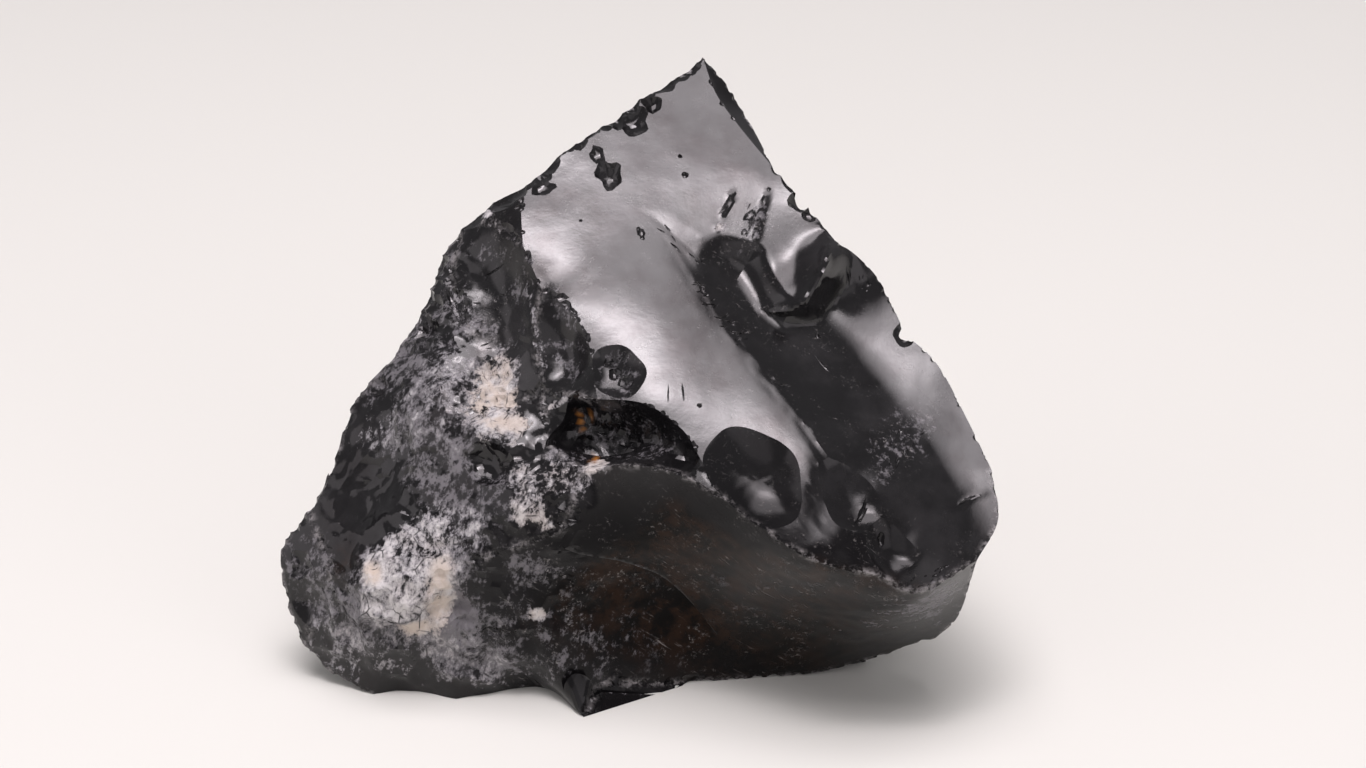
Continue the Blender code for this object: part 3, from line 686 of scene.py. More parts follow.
def scoop(scars):
    """Cut scars out of the stone, in as few cuts as can be without two cutters meeting."""
    batches = []
    for scar in scars:
        place, _, width, _, stretch, _ = scar
        reach = width / 2 * stretch * SCAR_REACH * SCAR_CLEARANCE
        for batch in batches:
            if all((place - other).length > reach + other_reach for other, other_reach in batch[0]):
                break
        else:
            batch = ([], [])
            batches.append(batch)
        batch[0].append((place, reach))
        batch[1].append(scar)
    for _, batch in batches:
        work = bmesh.new()
        for scar in batch:
            dish(work, *scar)
        bmesh.ops.recalc_face_normals(work, faces=work.faces)
        mesh = bpy.data.meshes.new("flakes")
        work.to_mesh(mesh)
        work.free()
        flakes = bpy.data.objects.new("flakes", mesh)
        bpy.context.scene.collection.objects.link(flakes)
        cut = stone.modifiers.new("scars", "BOOLEAN")
        cut.operation = "DIFFERENCE"
        cut.solver = "MANIFOLD"
        cut.object = flakes
        bpy.context.view_layer.update()
        shaped = stone.evaluated_get(bpy.context.evaluated_depsgraph_get())
        scarred = bpy.data.meshes.new_from_object(shaped)
        stone.modifiers.clear()
        stone.data = scarred
        bpy.data.objects.remove(flakes, do_unlink=True)


def surface():
    """The stone's surface as it is now, in mm, for finding places on it."""
    spots = [v.co / MM for v in stone.data.vertices]
    return BVHTree.FromPolygons(spots, [f.vertices for f in stone.data.polygons])


def spot_seen(tree, across, up):
    eye = Vector(seen([(EYE_ACROSS, 0.0, -EYE_DISTANCE)])[0])
    aim = (Vector(seen([(across, up, 0.0)])[0]) - eye).normalized()
    return tree.ray_cast(eye, aim)[:2]


def spot_outside(tree, bearing, height):
    turn = math.radians(bearing)
    out = Vector((math.sin(turn), -math.cos(turn), 0.0))
    return tree.ray_cast(out * OUTSIDE + Vector((0.0, 0.0, height)), -out)[:2]


bare = surface()
scoop(
    [(*spot_seen(bare, across, up), *size) for across, up, *size in SCARS.values()]
    + [(*spot_outside(bare, bearing, height), *size)
       for bearing, height, *size in HIDDEN_SCARS.values()]
)

# The chipped ridges
# A sharp edge of glass breaks wherever it is knocked, so every ridge carries a row of small
# flake scars, and a few pits and slivers are sprung out of the faces beside them.

# How many chips, and their smallest and largest width
CHIPS = {
    ("apex", "crest left"): (72, 0.4, 1.9),
    ("crest left", "left crest"): (12, 0.5, 1.6),
    ("left crest", "left edge"): (18, 0.5, 1.6),
    ("left edge", "tip top"): (12, 0.3, 1.0),
    ("tip top", "tip"): (5, 0.4, 0.9),
    ("tip", "tip foot"): (9, 0.4, 0.9),
    ("apex", "side edge"): (5, 0.3, 0.6),
    ("side edge", "shoulder"): (5, 0.3, 0.6),
    ("apex", "shoulder"): (4, 0.2, 0.4),
    ("shoulder", "right crest"): (8, 0.3, 0.9),
    ("right crest", "notch"): (10, 0.3, 0.8),
    ("notch", "right corner"): (14, 0.2, 0.5),
    ("right corner", "brow end"): (7, 0.2, 0.4),
    ("brow end", "right heel"): (6, 0.3, 0.6),
    ("brow middle", "brow end"): (34, 0.22, 0.6),
    ("brow start", "brow middle"): (16, 0.25, 0.7),
    ("bubble", "brow middle"): (14, 0.25, 0.6),
    ("crack bend", "bubble"): (14, 0.3, 0.8),
    ("crack top", "crack bend"): (4, 0.3, 0.6),
    ("crest left", "crack top"): (4, 0.3, 0.6),
    ("crack bend", "fold"): (10, 0.3, 0.7),
    ("left crest", "crack top"): (8, 0.4, 0.9),
    ("left crest", "dark corner"): (12, 0.4, 1.0),
    ("dark corner", "crust corner"): (7, 0.4, 0.9),
    ("crust corner", "fold"): (6, 0.4, 0.9),
    ("fold", "bubble"): (8, 0.3, 0.7),
    ("fold", "scar corner"): (7, 0.4, 0.9),
    ("scar corner", "brow start"): (6, 0.4, 0.8),
    ("brow start", "belly right"): (12, 0.4, 1.0),
    ("belly right", "keel top"): (9, 0.4, 1.0),
    ("keel top", "keel foot"): (10, 0.4, 1.0),
    ("right heel", "ground front"): (22, 0.3, 0.9),
    ("foot top", "ground front"): (8, 0.3, 0.7),
    ("foot top", "ground foot"): (8, 0.3, 0.8),
    ("tip foot", "ground left"): (14, 0.4, 1.1),
    ("tip top", "tip inner"): (5, 0.3, 0.7),
    ("tip inner", "tip foot"): (6, 0.3, 0.7),
    ("apex", "back crown"): (14, 0.5, 1.6),
    ("back crown", "back left"): (12, 0.5, 1.8),
    ("back crown", "back right"): (10, 0.5, 1.6),
    ("back crown", "ground back"): (12, 0.5, 1.8),
    ("back right", "ground back right"): (8, 0.5, 1.4),
    ("back left", "ground back left"): (8, 0.5, 1.5),
    ("notch", "back right"): (7, 0.4, 1.2),
    ("left edge", "back left"): (8, 0.4, 1.3),
}
CHIP_LEAN = 0.5
CHIP_TURN_TO_FRONT = 0.55
CHIP_DEPTHS = (0.14, 0.32)
CHIP_STRETCHES = (1.0, 1.9)

# Pits and slivers: across, up, width, depth, stretch, turn
PITS = [
    (0.06, 9.15, 0.55, 0.1, 1.2, 100.0), (0.15, 8.85, 0.3, 0.1, 1.0, 0.0),
    (-0.1, 9.4, 0.3, 0.1, 1.0, 0.0), (2.42, 13.8, 0.3, 0.15, 1.0, 0.0),
    (2.73, 12.67, 0.45, 0.2, 1.1, 40.0), (-3.6, 9.9, 0.22, 0.1, 1.0, 0.0),
    (4.8, 9.45, 0.45, 0.12, 1.2, 30.0), (3.8, 5.7, 0.5, 0.12, 1.5, 80.0),
    (3.6, -1.3, 0.3, 0.1, 1.2, 20.0), (7.8, 11.8, 0.3, 0.08, 1.0, 0.0),
    (5.1, 10.6, 0.2, 0.05, 4.0, 62.0), (6.6, 10.2, 0.5, 0.08, 2.0, 50.0),
    (7.0, 9.0, 0.5, 0.08, 1.8, 80.0), (6.3, 9.2, 0.35, 0.06, 1.6, 60.0),
    (9.6, 10.9, 0.9, 0.5, 1.3, 100.0), (10.3, 10.3, 1.0, 0.35, 1.2, 20.0),
    (10.76, 2.92, 0.35, 0.15, 1.6, 80.0),
    (11.0, 1.25, 0.18, 0.1, 9.0, 95.0), (8.78, -0.1, 0.32, 0.12, 2.6, -30.0),
    (20.1, -6.9, 0.3, 0.05, 4.0, 25.0), (-1.5, 0.6, 0.8, 0.22, 1.0, 0.0),
    (-1.9, 1.35, 0.5, 0.18, 1.3, 40.0), (-0.8, 0.1, 0.9, 0.22, 1.2, 60.0),
    (1.7, -0.6, 0.12, 0.06, 9.0, 88.0), (2.6, -0.5, 0.14, 0.07, 9.0, 91.0),
    (-2.6, 13.9, 0.9, 0.16, 1.6, 110.0), (-5.9, 11.9, 1.2, 0.22, 1.3, 20.0),
    (-7.9, 11.1, 2.0, 0.28, 1.3, 60.0), (-11.5, 6.3, 0.9, 0.3, 1.2, 0.0),
    (-11.3, 5.0, 0.7, 0.25, 3.2, -63.0), (-10.6, 4.4, 0.5, 0.2, 3.6, -70.0),
    (13.4, -7.9, 0.4, 0.14, 3.4, 60.0), (14.6, -9.4, 0.5, 0.2, 1.8, 80.0),
]

# Fields of fine slivers: across, up, half length, half width, turn, how the slivers lie, count
SLIVERS = [
    (4.9, 4.2, 2.6, 0.35, -51.0, -20.0, 26),
    (15.9, -3.6, 1.9, 0.7, 50.0, 45.0, 26),
    (13.0, 6.3, 1.0, 0.5, -20.0, 75.0, 14),
    (7.0, 9.8, 0.9, 0.6, 80.0, 70.0, 10),
    (2.2, 8.6, 2.0, 0.35, -41.0, -60.0, 7),
    (-9.4, 4.6, 2.4, 1.2, 70.0, 30.0, 12),
    (17.6, -11.8, 1.6, 0.4, 20.0, 10.0, 10),
]
SLIVER_WIDTHS = (0.08, 0.16)
SLIVER_STRETCHES = (3.0, 7.0)
SLIVER_DEPTH = 0.5
SLIVER_SWAY = 16.0

to_eye = Vector((0.0, -math.cos(math.radians(EYE_TILT)), math.sin(math.radians(EYE_TILT))))
chips = []
for ends, (count, smallest, largest) in CHIPS.items():
    run = skin.ridge(*ends)
    for _ in range(count):
        number = dice.choice(run[1:-1])
        width = smallest * (largest / smallest) ** dice.random()
        lean = Vector([dice.uniform(-CHIP_LEAN, CHIP_LEAN) for _ in range(3)])
        if not set(ends) & set(HIDDEN_CORNERS):
            lean += to_eye * CHIP_TURN_TO_FRONT
        outward = (skin_mesh.vertices[number].normal + lean).normalized()
        depth = width * dice.uniform(*CHIP_DEPTHS)
        size = (width, depth, dice.uniform(*CHIP_STRETCHES), dice.uniform(0.0, 180.0))
        chips.append((Vector(skin.points[number]), outward, *size))
scoop(chips)

scarred = surface()
pits = [(*spot_seen(scarred, across, up), *size) for across, up, *size in PITS]
for across, up, half_length, half_width, turn, lie, count in SLIVERS:
    angle = math.radians(turn)
    for _ in range(count):
        long = dice.uniform(-half_length, half_length)
        wide = dice.uniform(-half_width, half_width)
        place, outward = spot_seen(
            scarred,
            across + long * math.cos(angle) - wide * math.sin(angle),
            up + long * math.sin(angle) + wide * math.cos(angle),
        )
        width = dice.uniform(*SLIVER_WIDTHS)
        stretch = dice.uniform(*SLIVER_STRETCHES)
        lies = lie + dice.gauss(0, SLIVER_SWAY)
        pits.append((place, outward, width, width * SLIVER_DEPTH, stretch, lies))
scoop([pit for pit in pits if pit[0] is not None])

# The crushed patch
# The left side took the blows that broke the block: the glass there is crushed into fine
# splinters that look white, grey or a warm buff, and the faces round it are crumpled.

# Bruised glass round it, and a painted highlight on the tip: across, up, half length, half width,
# turn, strength
HAZE_AND_SHEEN_PLACES = [
    (-12.0, -2.0, 5.0, 3.2, 60.0, 0.75),
    (-9.0, -8.0, 5.0, 3.4, -30.0, 0.7),
    (-13.5, -13.0, 6.5, 3.6, 10.0, 0.85),
    (-18.5, -12.5, 4.0, 2.2, 85.0, 0.6),
    (-12.8, 1.4, 4.6, 2.4, 62.0, 0.6),
    (-10.0, -16.4, 4.0, 1.6, 0.0, 0.8),
    (-9.0, 5.5, 3.6, 2.4, 80.0, 0.3),
    (-12.3, 5.0, 4.5, 1.4, 65.0, 0.35),
    (-4.5, 3.0, 3.2, 1.2, -70.0, 0.3),
    (-1.6, 0.6, 1.6, 1.4, 0.0, 0.35),
    (-5.6, -5.0, 2.4, 1.8, -20.0, 0.4),
    (15.9, -3.4, 2.8, 1.4, 48.0, 0.4),
    (17.0, -13.5, 3.0, 1.2, 15.0, 0.5),
    (6.8, 9.6, 1.6, 1.2, 80.0, 0.3),
    (-4.5, -15.5, 5.0, 2.2, 15.0, 0.35),
    (4.0, -14.0, 10.0, 3.0, 10.0, 0.08),
    (-1.0, -3.0, 3.5, 1.5, -15.0, 0.35),
    # A painted highlight: the glossy facet of the tip, lightened
    (-20.5, -12.2, 2.2, 0.8, -65.0, 0.7),
]

# Crushed glass, and one painted glint: across, up, half length, half width, turn, strength, warmth
CRUST_AND_GLINT = [
    (-8.7, -1.0, 2.5, 1.6, 80.0, 0.95, 0.8),
    (-8.2, -2.5, 1.6, 1.1, 0.0, 0.9, 0.7),
    (-11.5, -0.6, 3.0, 1.7, 80.0, 0.55, 0.0),
    (-6.9, -7.0, 2.9, 1.2, -65.0, 0.8, 0.2),
    (-4.9, -5.9, 1.6, 1.1, -20.0, 0.65, 0.2),
    (-6.4, -8.3, 1.3, 1.0, 0.0, 0.95, 0.3),
    (-14.6, -11.8, 3.3, 2.3, 72.0, 0.85, 0.1),
    (-13.0, -9.0, 2.3, 1.3, 40.0, 0.7, 0.0),
    (-12.4, -10.8, 1.4, 1.0, 80.0, 0.75, 0.2),
    (-16.2, -11.5, 0.7, 0.5, 90.0, 0.95, 1.0),
    (-12.1, -12.6, 2.1, 0.8, 85.0, 0.95, 0.9),
    (-13.6, -14.9, 1.1, 0.5, 10.0, 0.9, 0.9),
    (-10.6, -8.8, 2.1, 1.7, 0.0, 0.5, 0.0),
    (-11.1, -11.6, 1.2, 1.0, 0.0, 0.55, 0.0),
    (-14.5, -16.1, 4.5, 1.4, -10.0, 0.4, 0.1),
    (-10.0, -16.7, 3.4, 1.6, 0.0, 0.36, 0.0),
    (-13.0, -2.2, 2.5, 2.5, 0.0, 0.33, 0.0),
    (-15.8, -4.0, 2.0, 2.0, 0.0, 0.28, 0.0),
    (-18.2, -15.5, 2.4, 2.0, 90.0, 0.34, 0.0),
    (-2.7, -5.0, 0.8, 0.35, 20.0, 0.9, 0.5),
    (-6.2, -13.9, 0.5, 0.4, 0.0, 0.95, 0.5),
    # A painted glint: a small white spot
    (-9.3, 10.3, 0.35, 0.3, 0.0, 0.8, 0.0),
    (4.8, 9.45, 0.35, 0.25, 20.0, 0.9, 0.2),
    (-6.2, 2.7, 2.8, 0.22, -80.0, 0.75, 0.0),
    (-5.0, -1.2, 1.3, 0.22, 32.0, 0.75, 0.2),
    (-11.2, 5.1, 1.8, 0.5, -60.0, 0.45, 0.0),
]

# Places inside it that stayed smooth: across, up, half length, half width, turn, strength
SMOOTH = [
    (-9.2, -11.6, 1.7, 1.1, 80.0, 1.0),
    (-6.0, -9.8, 2.0, 0.9, -20.0, 0.9),
    (-17.6, -9.4, 1.4, 0.9, 60.0, 0.7),
    (-10.8, -5.6, 0.9, 0.5, 60.0, 0.6),
    (-16.7, -7.2, 2.6, 1.9, 60.0, 1.0),
    (-8.9, -4.7, 1.3, 0.8, -10.0, 1.0),
    (-9.3, -6.2, 2.0, 1.2, 0.0, 0.5),
    (-6.4, -3.7, 1.0, 0.7, 80.0, 0.8),
    (-6.7, -0.4, 1.6, 0.8, 80.0, 0.7),
]

# Painted reflection: brown under this line across the lower face stands in for a brown ruler
# mirrored there; the same mask also holds a brown spot on the tip
BROWN_EDGE = [
    (-7.6, -14.0), (-5.7, -12.7), (-2.3, -10.2), (0.2, -8.7), (1.4, -7.1), (2.1, -6.8),
    (4.8, -9.0), (7.6, -10.2), (10.1, -10.5), (16.3, -11.8),
]
BROWN_FADE = 0.5
BROWN_FACE = [(4.5, -12.0, 11.0, 5.0, -8.0, 1.0)]
BROWN_TIP = [(-17.9, -11.0, 1.1, 0.8, 90.0, 0.8)]

# Painted shade that darkens the reflection on the lower face and two more patches, and a painted
# glow: amber where light shines through a thin rim
PAINTED_SHADE_PLACES = [
    (3.0, -12.6, 13.0, 6.6, 0.0, 1.0),
    (-6.0, -13.4, 4.0, 3.6, 0.0, 0.8),
    (-1.0, -3.5, 4.0, 2.4, 0.0, 0.4),
]
# Painted glow: amber patches where light shines through a thin rim
AMBER_GLOW_PLACES = [
    (-3.6, -2.2, 0.6, 0.1, 104.0, 0.85),
    (-2.9, -1.9, 0.3, 0.08, 95.0, 0.6),
    (-2.8, -4.6, 0.22, 0.12, 60.0, 0.9),
]

# The black strip beside the apex, painted shade that darkens its reflection where it faces right:
# across, up, half length, half width, turn, strength
STRIP = [(5.9, 16.3, 4.6, 1.4, -62.0, 1.0)]
STRIP_FACING = (0.45, 0.2)

# Corners that no worn ridge joins. Worn ridges are pale: partly real chipping, partly painted edge
# highlights
FRESH = [
    "apex", "shoulder", "side edge", "right crest", "notch", "right corner", "crest left",
    "crack top", "crack bend", "bubble", "brow middle",
]

# Scuffed faces, and crumpled ones with the height and length of their folds
SCUFFS = [
    (4.0, -12.5, 14.0, 5.5, 0.0, 0.5),
    (-6.0, -14.0, 4.0, 4.0, 0.0, 0.8),
    (15.8, -3.4, 2.6, 1.2, 48.0, 0.9),
    (-8.6, 5.6, 3.4, 2.2, 80.0, 0.5),
    (9.5, 2.0, 9.0, 2.6, -54.0, 0.3),
    (6.9, 9.6, 1.4, 1.0, 80.0, 0.8),
    (4.0, 5.0, 16.0, 9.0, -45.0, 0.2),
]
CRUMPLES = [
    (-12.5, -4.0, 9.0, 5.0, 65.0, 0.2, 1.3),
    (-10.0, -12.0, 8.0, 4.5, 0.0, 0.24, 1.4),
    (-12.0, 4.6, 4.5, 1.6, 62.0, 0.2, 1.0),
    (-13.0, -15.6, 6.5, 2.6, -8.0, 0.75, 2.3),
    (-6.5, -15.8, 4.0, 2.4, 0.0, 0.4, 1.8),
    (-1.6, -3.2, 3.2, 1.5, -10.0, 0.2, 0.9),
    (3.0, -13.0, 13.0, 4.5, 0.0, 0.05, 1.3),
    (-17.5, -14.0, 2.6, 2.2, 70.0, 0.22, 1.3),
    (-8.6, -13.6, 2.6, 2.2, 70.0, 0.24, 1.1),
    (-13.0, 0.4, 3.2, 2.2, 70.0, 0.22, 1.6),
    (-6.0, -6.6, 3.4, 1.8, -60.0, 0.28, 0.9),
    (-13.4, -11.6, 4.0, 3.0, 70.0, 0.20, 1.0),
    (-8.7, -1.4, 2.8, 1.8, 80.0, 0.16, 0.8),
    (-10.4, -9.0, 2.4, 2.0, 0.0, 0.10, 1.1),
]
CREASED = 0.7
WORN_REACH = 0.42
GRIT = 0.05
GRIT_LENGTH = 0.45
GRIT_FROM = 0.05
ROUGH_LIMITS = (-0.7, 0.25)

# How far ovals fade beyond their rims, which faces count as seen, and what the far side carries
OVAL_END = 1.6
OVAL_FADE = 1.1
FRONT_FACING = (-0.05, 0.25)
SMOOTH_IN_HAZE = 0.6
BACK_PATCH = 9.0
BACK_CRUST = 0.62
BACK_HAZE = 0.5
BACK_SCUFF = 0.35
WELD = 0.002
INSET = 0.01


def cover(across, up, ovals):
    """How strongly a list of soft-edged ovals covers each place."""
    covered = np.zeros(len(across))
    for *place, strength in ovals:
        share = smooth_step((OVAL_END - oval(across, up, *place)) / OVAL_FADE)
        covered = np.maximum(covered, strength * share)
    return covered


work = bmesh.new()
work.from_mesh(stone.data)
bmesh.ops.triangulate(work, faces=work.faces)
bmesh.ops.remove_doubles(work, verts=work.verts, dist=WELD * MM)
unseen = set(work.verts)
lumps = []
while unseen:
    lump = [unseen.pop()]
    for vertex in lump:
        for edge in vertex.link_edges:
            other = edge.other_vert(vertex)
            if other in unseen:
                unseen.discard(other)
                lump.append(other)
    lumps.append(lump)
lumps.sort(key=len)
bmesh.ops.delete(work, geom=[vertex for lump in lumps[:-1] for vertex in lump], context="VERTS")
work.to_mesh(stone.data)
work.free()

count = len(stone.data.vertices)
spots = np.empty(count * 3)
stone.data.vertices.foreach_get("co", spots)
spots = spots.reshape(-1, 3) / MM
normals = np.empty(count * 3)
stone.data.vertex_normals.foreach_get("vector", normals)
normals = normals.reshape(-1, 3)
across, up, back = sight(spots).T
tilt = math.radians(EYE_TILT)
facing = -normals @ np.array((0.0, math.cos(tilt), -math.sin(tilt)))
front = smooth_step((facing - FRONT_FACING[0]) / FRONT_FACING[1])

# The crushed-glass mask also holds one painted glint
crust = cover(across, up, [(*place, strength) for *place, strength, _ in CRUST_AND_GLINT])
warm = cover(across, up, [(*place, warmth) for *place, _, warmth in CRUST_AND_GLINT])
crust = front * np.clip(crust - cover(across, up, SMOOTH), 0.0, 1.0)
haze = cover(across, up, HAZE_AND_SHEEN_PLACES) - SMOOTH_IN_HAZE * cover(across, up, SMOOTH)
haze = front * np.clip(haze, 0.0, 1.0)
patches = np.array([noise.fractal(Vector(spot / BACK_PATCH), 1.0, 2.0, 4) for spot in spots])
crust = np.maximum(crust, (1.0 - front) * BACK_CRUST * smooth_step((patches - 0.22) / 0.3))
below_edge = -beside_course(across, up, BROWN_EDGE)[0]
# Painted reflection: brown on the lower face, and a brown spot on the tip
brown = cover(across, up, BROWN_FACE) * smooth_step((below_edge + BROWN_FADE) / (2 * BROWN_FADE))
brown = front * np.maximum(brown, cover(across, up, BROWN_TIP))
# Painted glow: amber where light shines through a thin rim
amber_glow = front * cover(across, up, AMBER_GLOW_PLACES)
haze = np.maximum(haze, (1.0 - front) * BACK_HAZE * smooth_step((patches + 0.1) / 0.5))
scuff = np.maximum(front * cover(across, up, SCUFFS), (1.0 - front) * BACK_SCUFF)

# Worn ridges: real chipping, lightened as painted edge highlights too
worn_ridges = [ends for ends in CHIPS if set(ends) - set(FRESH)]
ridge_numbers = sorted({number for ends in worn_ridges for number in skin.ridge(*ends)})
ridge_points = KDTree(len(ridge_numbers))
for number in ridge_numbers:
    ridge_points.insert(skin.points[number], number)
ridge_points.balance()
wear_and_glint = np.array([ridge_points.find(spot)[2] for spot in spots])
wear_and_glint = smooth_step(1.0 - wear_and_glint / WORN_REACH)

rough = np.zeros(count)
for *place, height, length in CRUMPLES:
    amount = height * cover(across, up, [(*place, 1.0)]) * front
    for number in np.nonzero(amount > 0.005)[0]:
        spot = Vector(spots[number] / length)
        creases = CREASED * (0.5 - 2.0 * abs(noise.noise(spot)))
        folds = (1.0 - CREASED) * noise.fractal(spot, 0.9, 2.1, 4)
        rough[number] += amount[number] * (creases + folds)
for number in np.nonzero(crust > GRIT_FROM)[0]:
    spot = Vector(spots[number] / GRIT_LENGTH)
    rough[number] += GRIT * crust[number] * noise.fractal(spot, 0.6, 2.2, 3)
rough = np.clip(rough, *ROUGH_LIMITS)
moved = spots + normals * rough[:, None]
low, high = (np.array(corner) / MM for corner in solid_box)
moved = np.clip(moved, low + INSET, high - INSET)
stone.data.vertices.foreach_set("co", (moved * MM).ravel())
# Painted shade: the reflection is darkened on the lower face, on two patches, and on the strip
# where it faces right
strip = smooth_step((normals[:, 0] - STRIP_FACING[0]) / STRIP_FACING[1])
painted_shade = front * np.maximum(cover(across, up, PAINTED_SHADE_PLACES), cover(across, up, STRIP) * strip)
masks = {
    "crust": crust, "haze": haze, "warm": warm, "brown": brown, "amber_glow": amber_glow, "scuff": scuff,
    "painted_shade": painted_shade, "wear_and_glint": wear_and_glint,
}
for name, values in masks.items():
    stone.data.attributes.new(name, "FLOAT", "POINT").data.foreach_set("value", values)
stone.data.update()

# The glass itself
# Nearly black, with a mirror gloss where it is fresh. A thin film of dust and old scratches dulls
# it in clouds, and crushed glass is rough and pale. Painted shade darkens its reflection on the
# lower face and beside the apex; the lower face also carries a painted brown reflection, a thin rim
# a painted amber glow, and worn ridges and a few spots painted highlights.

GLASS = (0.0060, 0.0057, 0.0062, 1.0)
DUSTY_GLASS = (0.020, 0.019, 0.020, 1.0)
PAINTED_BROWN_REFLECTION = (0.0135, 0.0068, 0.0042, 1.0)
PAINTED_AMBER_GLOW = (0.42, 0.17, 0.035, 1.0)
HAZE = (0.140, 0.134, 0.143, 1.0)
CRUSHED_GREY = (0.22, 0.213, 0.225, 1.0)
CRUSHED_WHITE = (0.60, 0.585, 0.585, 1.0)
CRUSHED_BUFF = (0.56, 0.48, 0.41, 1.0)
CRACK = (0.02, 0.019, 0.02, 1.0)
SPECK = (0.36, 0.34, 0.33, 1.0)
CLEAR_TINT = (1.0, 1.0, 1.0, 1.0)
CLOUD_TINT = (0.72, 0.68, 0.68, 1.0)
PAINTED_SHADE_TINT = (0.07, 0.07, 0.07, 1.0)
BROWN_TINT = (0.23, 0.16, 0.125, 1.0)
BROWN_DARK = (0.0035, 0.003, 0.0028, 1.0)
WEAR_AND_GLINT_GREY = (0.21, 0.20, 0.20, 1.0)
GLASS_IOR = 1.49
SHARP_FROM = 15.0

# The size of each kind of grain in mm, and how marks that run one way are turned and drawn out
FRAY_SIZE = 2.4
SPLINTER_SIZE = 0.42
CRACK_SPACING = 0.9
DUST_SIZE = 5.0
MOTTLE_SIZE = 1.5
CLUSTER_SIZE = 2.2
SPECK_SIZE = 0.3
SCRATCH_SIZE = 0.22
SCRATCH_SPREAD = 3.0
CHIPPED_SIZE = 0.7
CLOUD_SIZE = 4.0
SCRATCH_TURN = (0.0, 38.0, 8.0)
SCRATCH_DRAWN = (12.0, 1.0, 1.0)
FRAY_TURN = (0.0, 104.0, 10.0)
FRAY_DRAWN = (1.5, 1.0, 1.0)

# How rough clean glass is, what dust, scuffs and bruises add, and how rough broken glass is
CLEAN_ROUGHNESS = 0.09
DUST_ADDS = 0.08
SCUFF_ADDS = 0.2
BRUISE_ADDS = 0.3
CRUSHED_ROUGHNESS = 0.8
WORN_ROUGHNESS = 0.55
SPECK_ROUGHNESS = 0.6
DUST_KEPT_OFF = 0.85
SPECK_COVER = 0.8

# How deep the grit, the scratches and the film stand in the surface, in mm
GRIT_DEPTH = 0.12
SCRATCH_DEPTH = 0.03
FILM_DEPTH = 0.02
FILM_STRENGTH = 0.4

glass = bpy.data.materials.new("obsidian glass")
glass.use_nodes = True
tree = glass.node_tree
shader = tree.nodes["Principled BSDF"]
shader.inputs["IOR"].default_value = GLASS_IOR


def knot(kind, **settings):
    node = tree.nodes.new(kind)
    for name, value in settings.items():
        setattr(node, name, value)
    return node


def feed(socket, value):
    """Join a node's output to a socket, or set a plain value on it."""
    if isinstance(value, bpy.types.NodeSocket):
        tree.links.new(value, socket)
    else:
        socket.default_value = value


def sums(operation, *values):
    node = knot("ShaderNodeMath", operation=operation)
    for socket, value in zip(node.inputs, values):
        feed(socket, value)
    return node.outputs[0]


def span(value, low, high):
    """0 below low, 1 above high, and smooth between."""
    node = knot("ShaderNodeMapRange", interpolation_type="SMOOTHSTEP")
    feed(node.inputs["Value"], value)
    node.inputs["From Min"].default_value = low
    node.inputs["From Max"].default_value = high
    return node.outputs[0]


def blend(share, under, over):
    node = knot("ShaderNodeMix", data_type="RGBA")
    feed(node.inputs[0], share)
    feed(node.inputs[6], under)
    feed(node.inputs[7], over)
    return node.outputs[2]


def mask(name):
    return knot("ShaderNodeAttribute", attribute_name=name).outputs["Fac"]


def grain(length, detail, where=None, roughness=0.6):
    """Fractal noise whose largest features are about as long as given, in mm."""
    node = knot("ShaderNodeTexNoise")
    node.inputs["Scale"].default_value = 1.0 / (length * MM)
    node.inputs["Detail"].default_value = detail
    node.inputs["Roughness"].default_value = roughness
    tree.links.new(where or position, node.inputs["Vector"])
    return node.outputs["Fac"]


def drawn(turn, scale):
    """The place in the stone, turned and drawn out, for marks that all run one way."""
    node = knot("ShaderNodeMapping", vector_type="TEXTURE")
    node.inputs["Rotation"].default_value = [math.radians(angle) for angle in turn]
    node.inputs["Scale"].default_value = scale
    tree.links.new(position, node.inputs["Vector"])
    return node.outputs[0]


position = knot("ShaderNodeTexCoord").outputs["Object"]
scratched = drawn(SCRATCH_TURN, SCRATCH_DRAWN)
frayed = drawn(FRAY_TURN, FRAY_DRAWN)

# Crushed glass: broad patches, frayed by coarse noise and broken up by fine noise; one small white
# spot among them is a painted glint
coarse = sums("SUBTRACT", span(grain(FRAY_SIZE, 8.0, roughness=0.68), 0.3, 0.7), 0.5)
fine = span(grain(SPLINTER_SIZE, 7.0, frayed, roughness=0.75), 0.32, 0.68)
fine = sums("SUBTRACT", fine, 0.5)
ragged = sums("MULTIPLY_ADD", coarse, 0.75, mask("crust"))
ragged = sums("MULTIPLY_ADD", fine, 0.85, ragged)
crushed = sums("MULTIPLY", span(ragged, 0.42, 0.72), span(mask("crust"), 0.02, 0.2))
whiter = span(ragged, 0.55, 1.25)
pale = blend(whiter, CRUSHED_GREY, CRUSHED_WHITE)
pale = blend(sums("MULTIPLY", mask("warm"), span(grain(1.6, 5.0), 0.35, 0.6)), pale, CRUSHED_BUFF)
cells = knot("ShaderNodeTexVoronoi", feature="DISTANCE_TO_EDGE")
cells.inputs["Scale"].default_value = 1.0 / (CRACK_SPACING * MM)
feed(cells.inputs["Vector"], frayed)
near_crack = span(cells.outputs["Distance"], 0.07, 0.0)
split = sums("MULTIPLY", near_crack, span(grain(1.1, 4.0), 0.47, 0.6))
pale = blend(split, pale, CRACK)

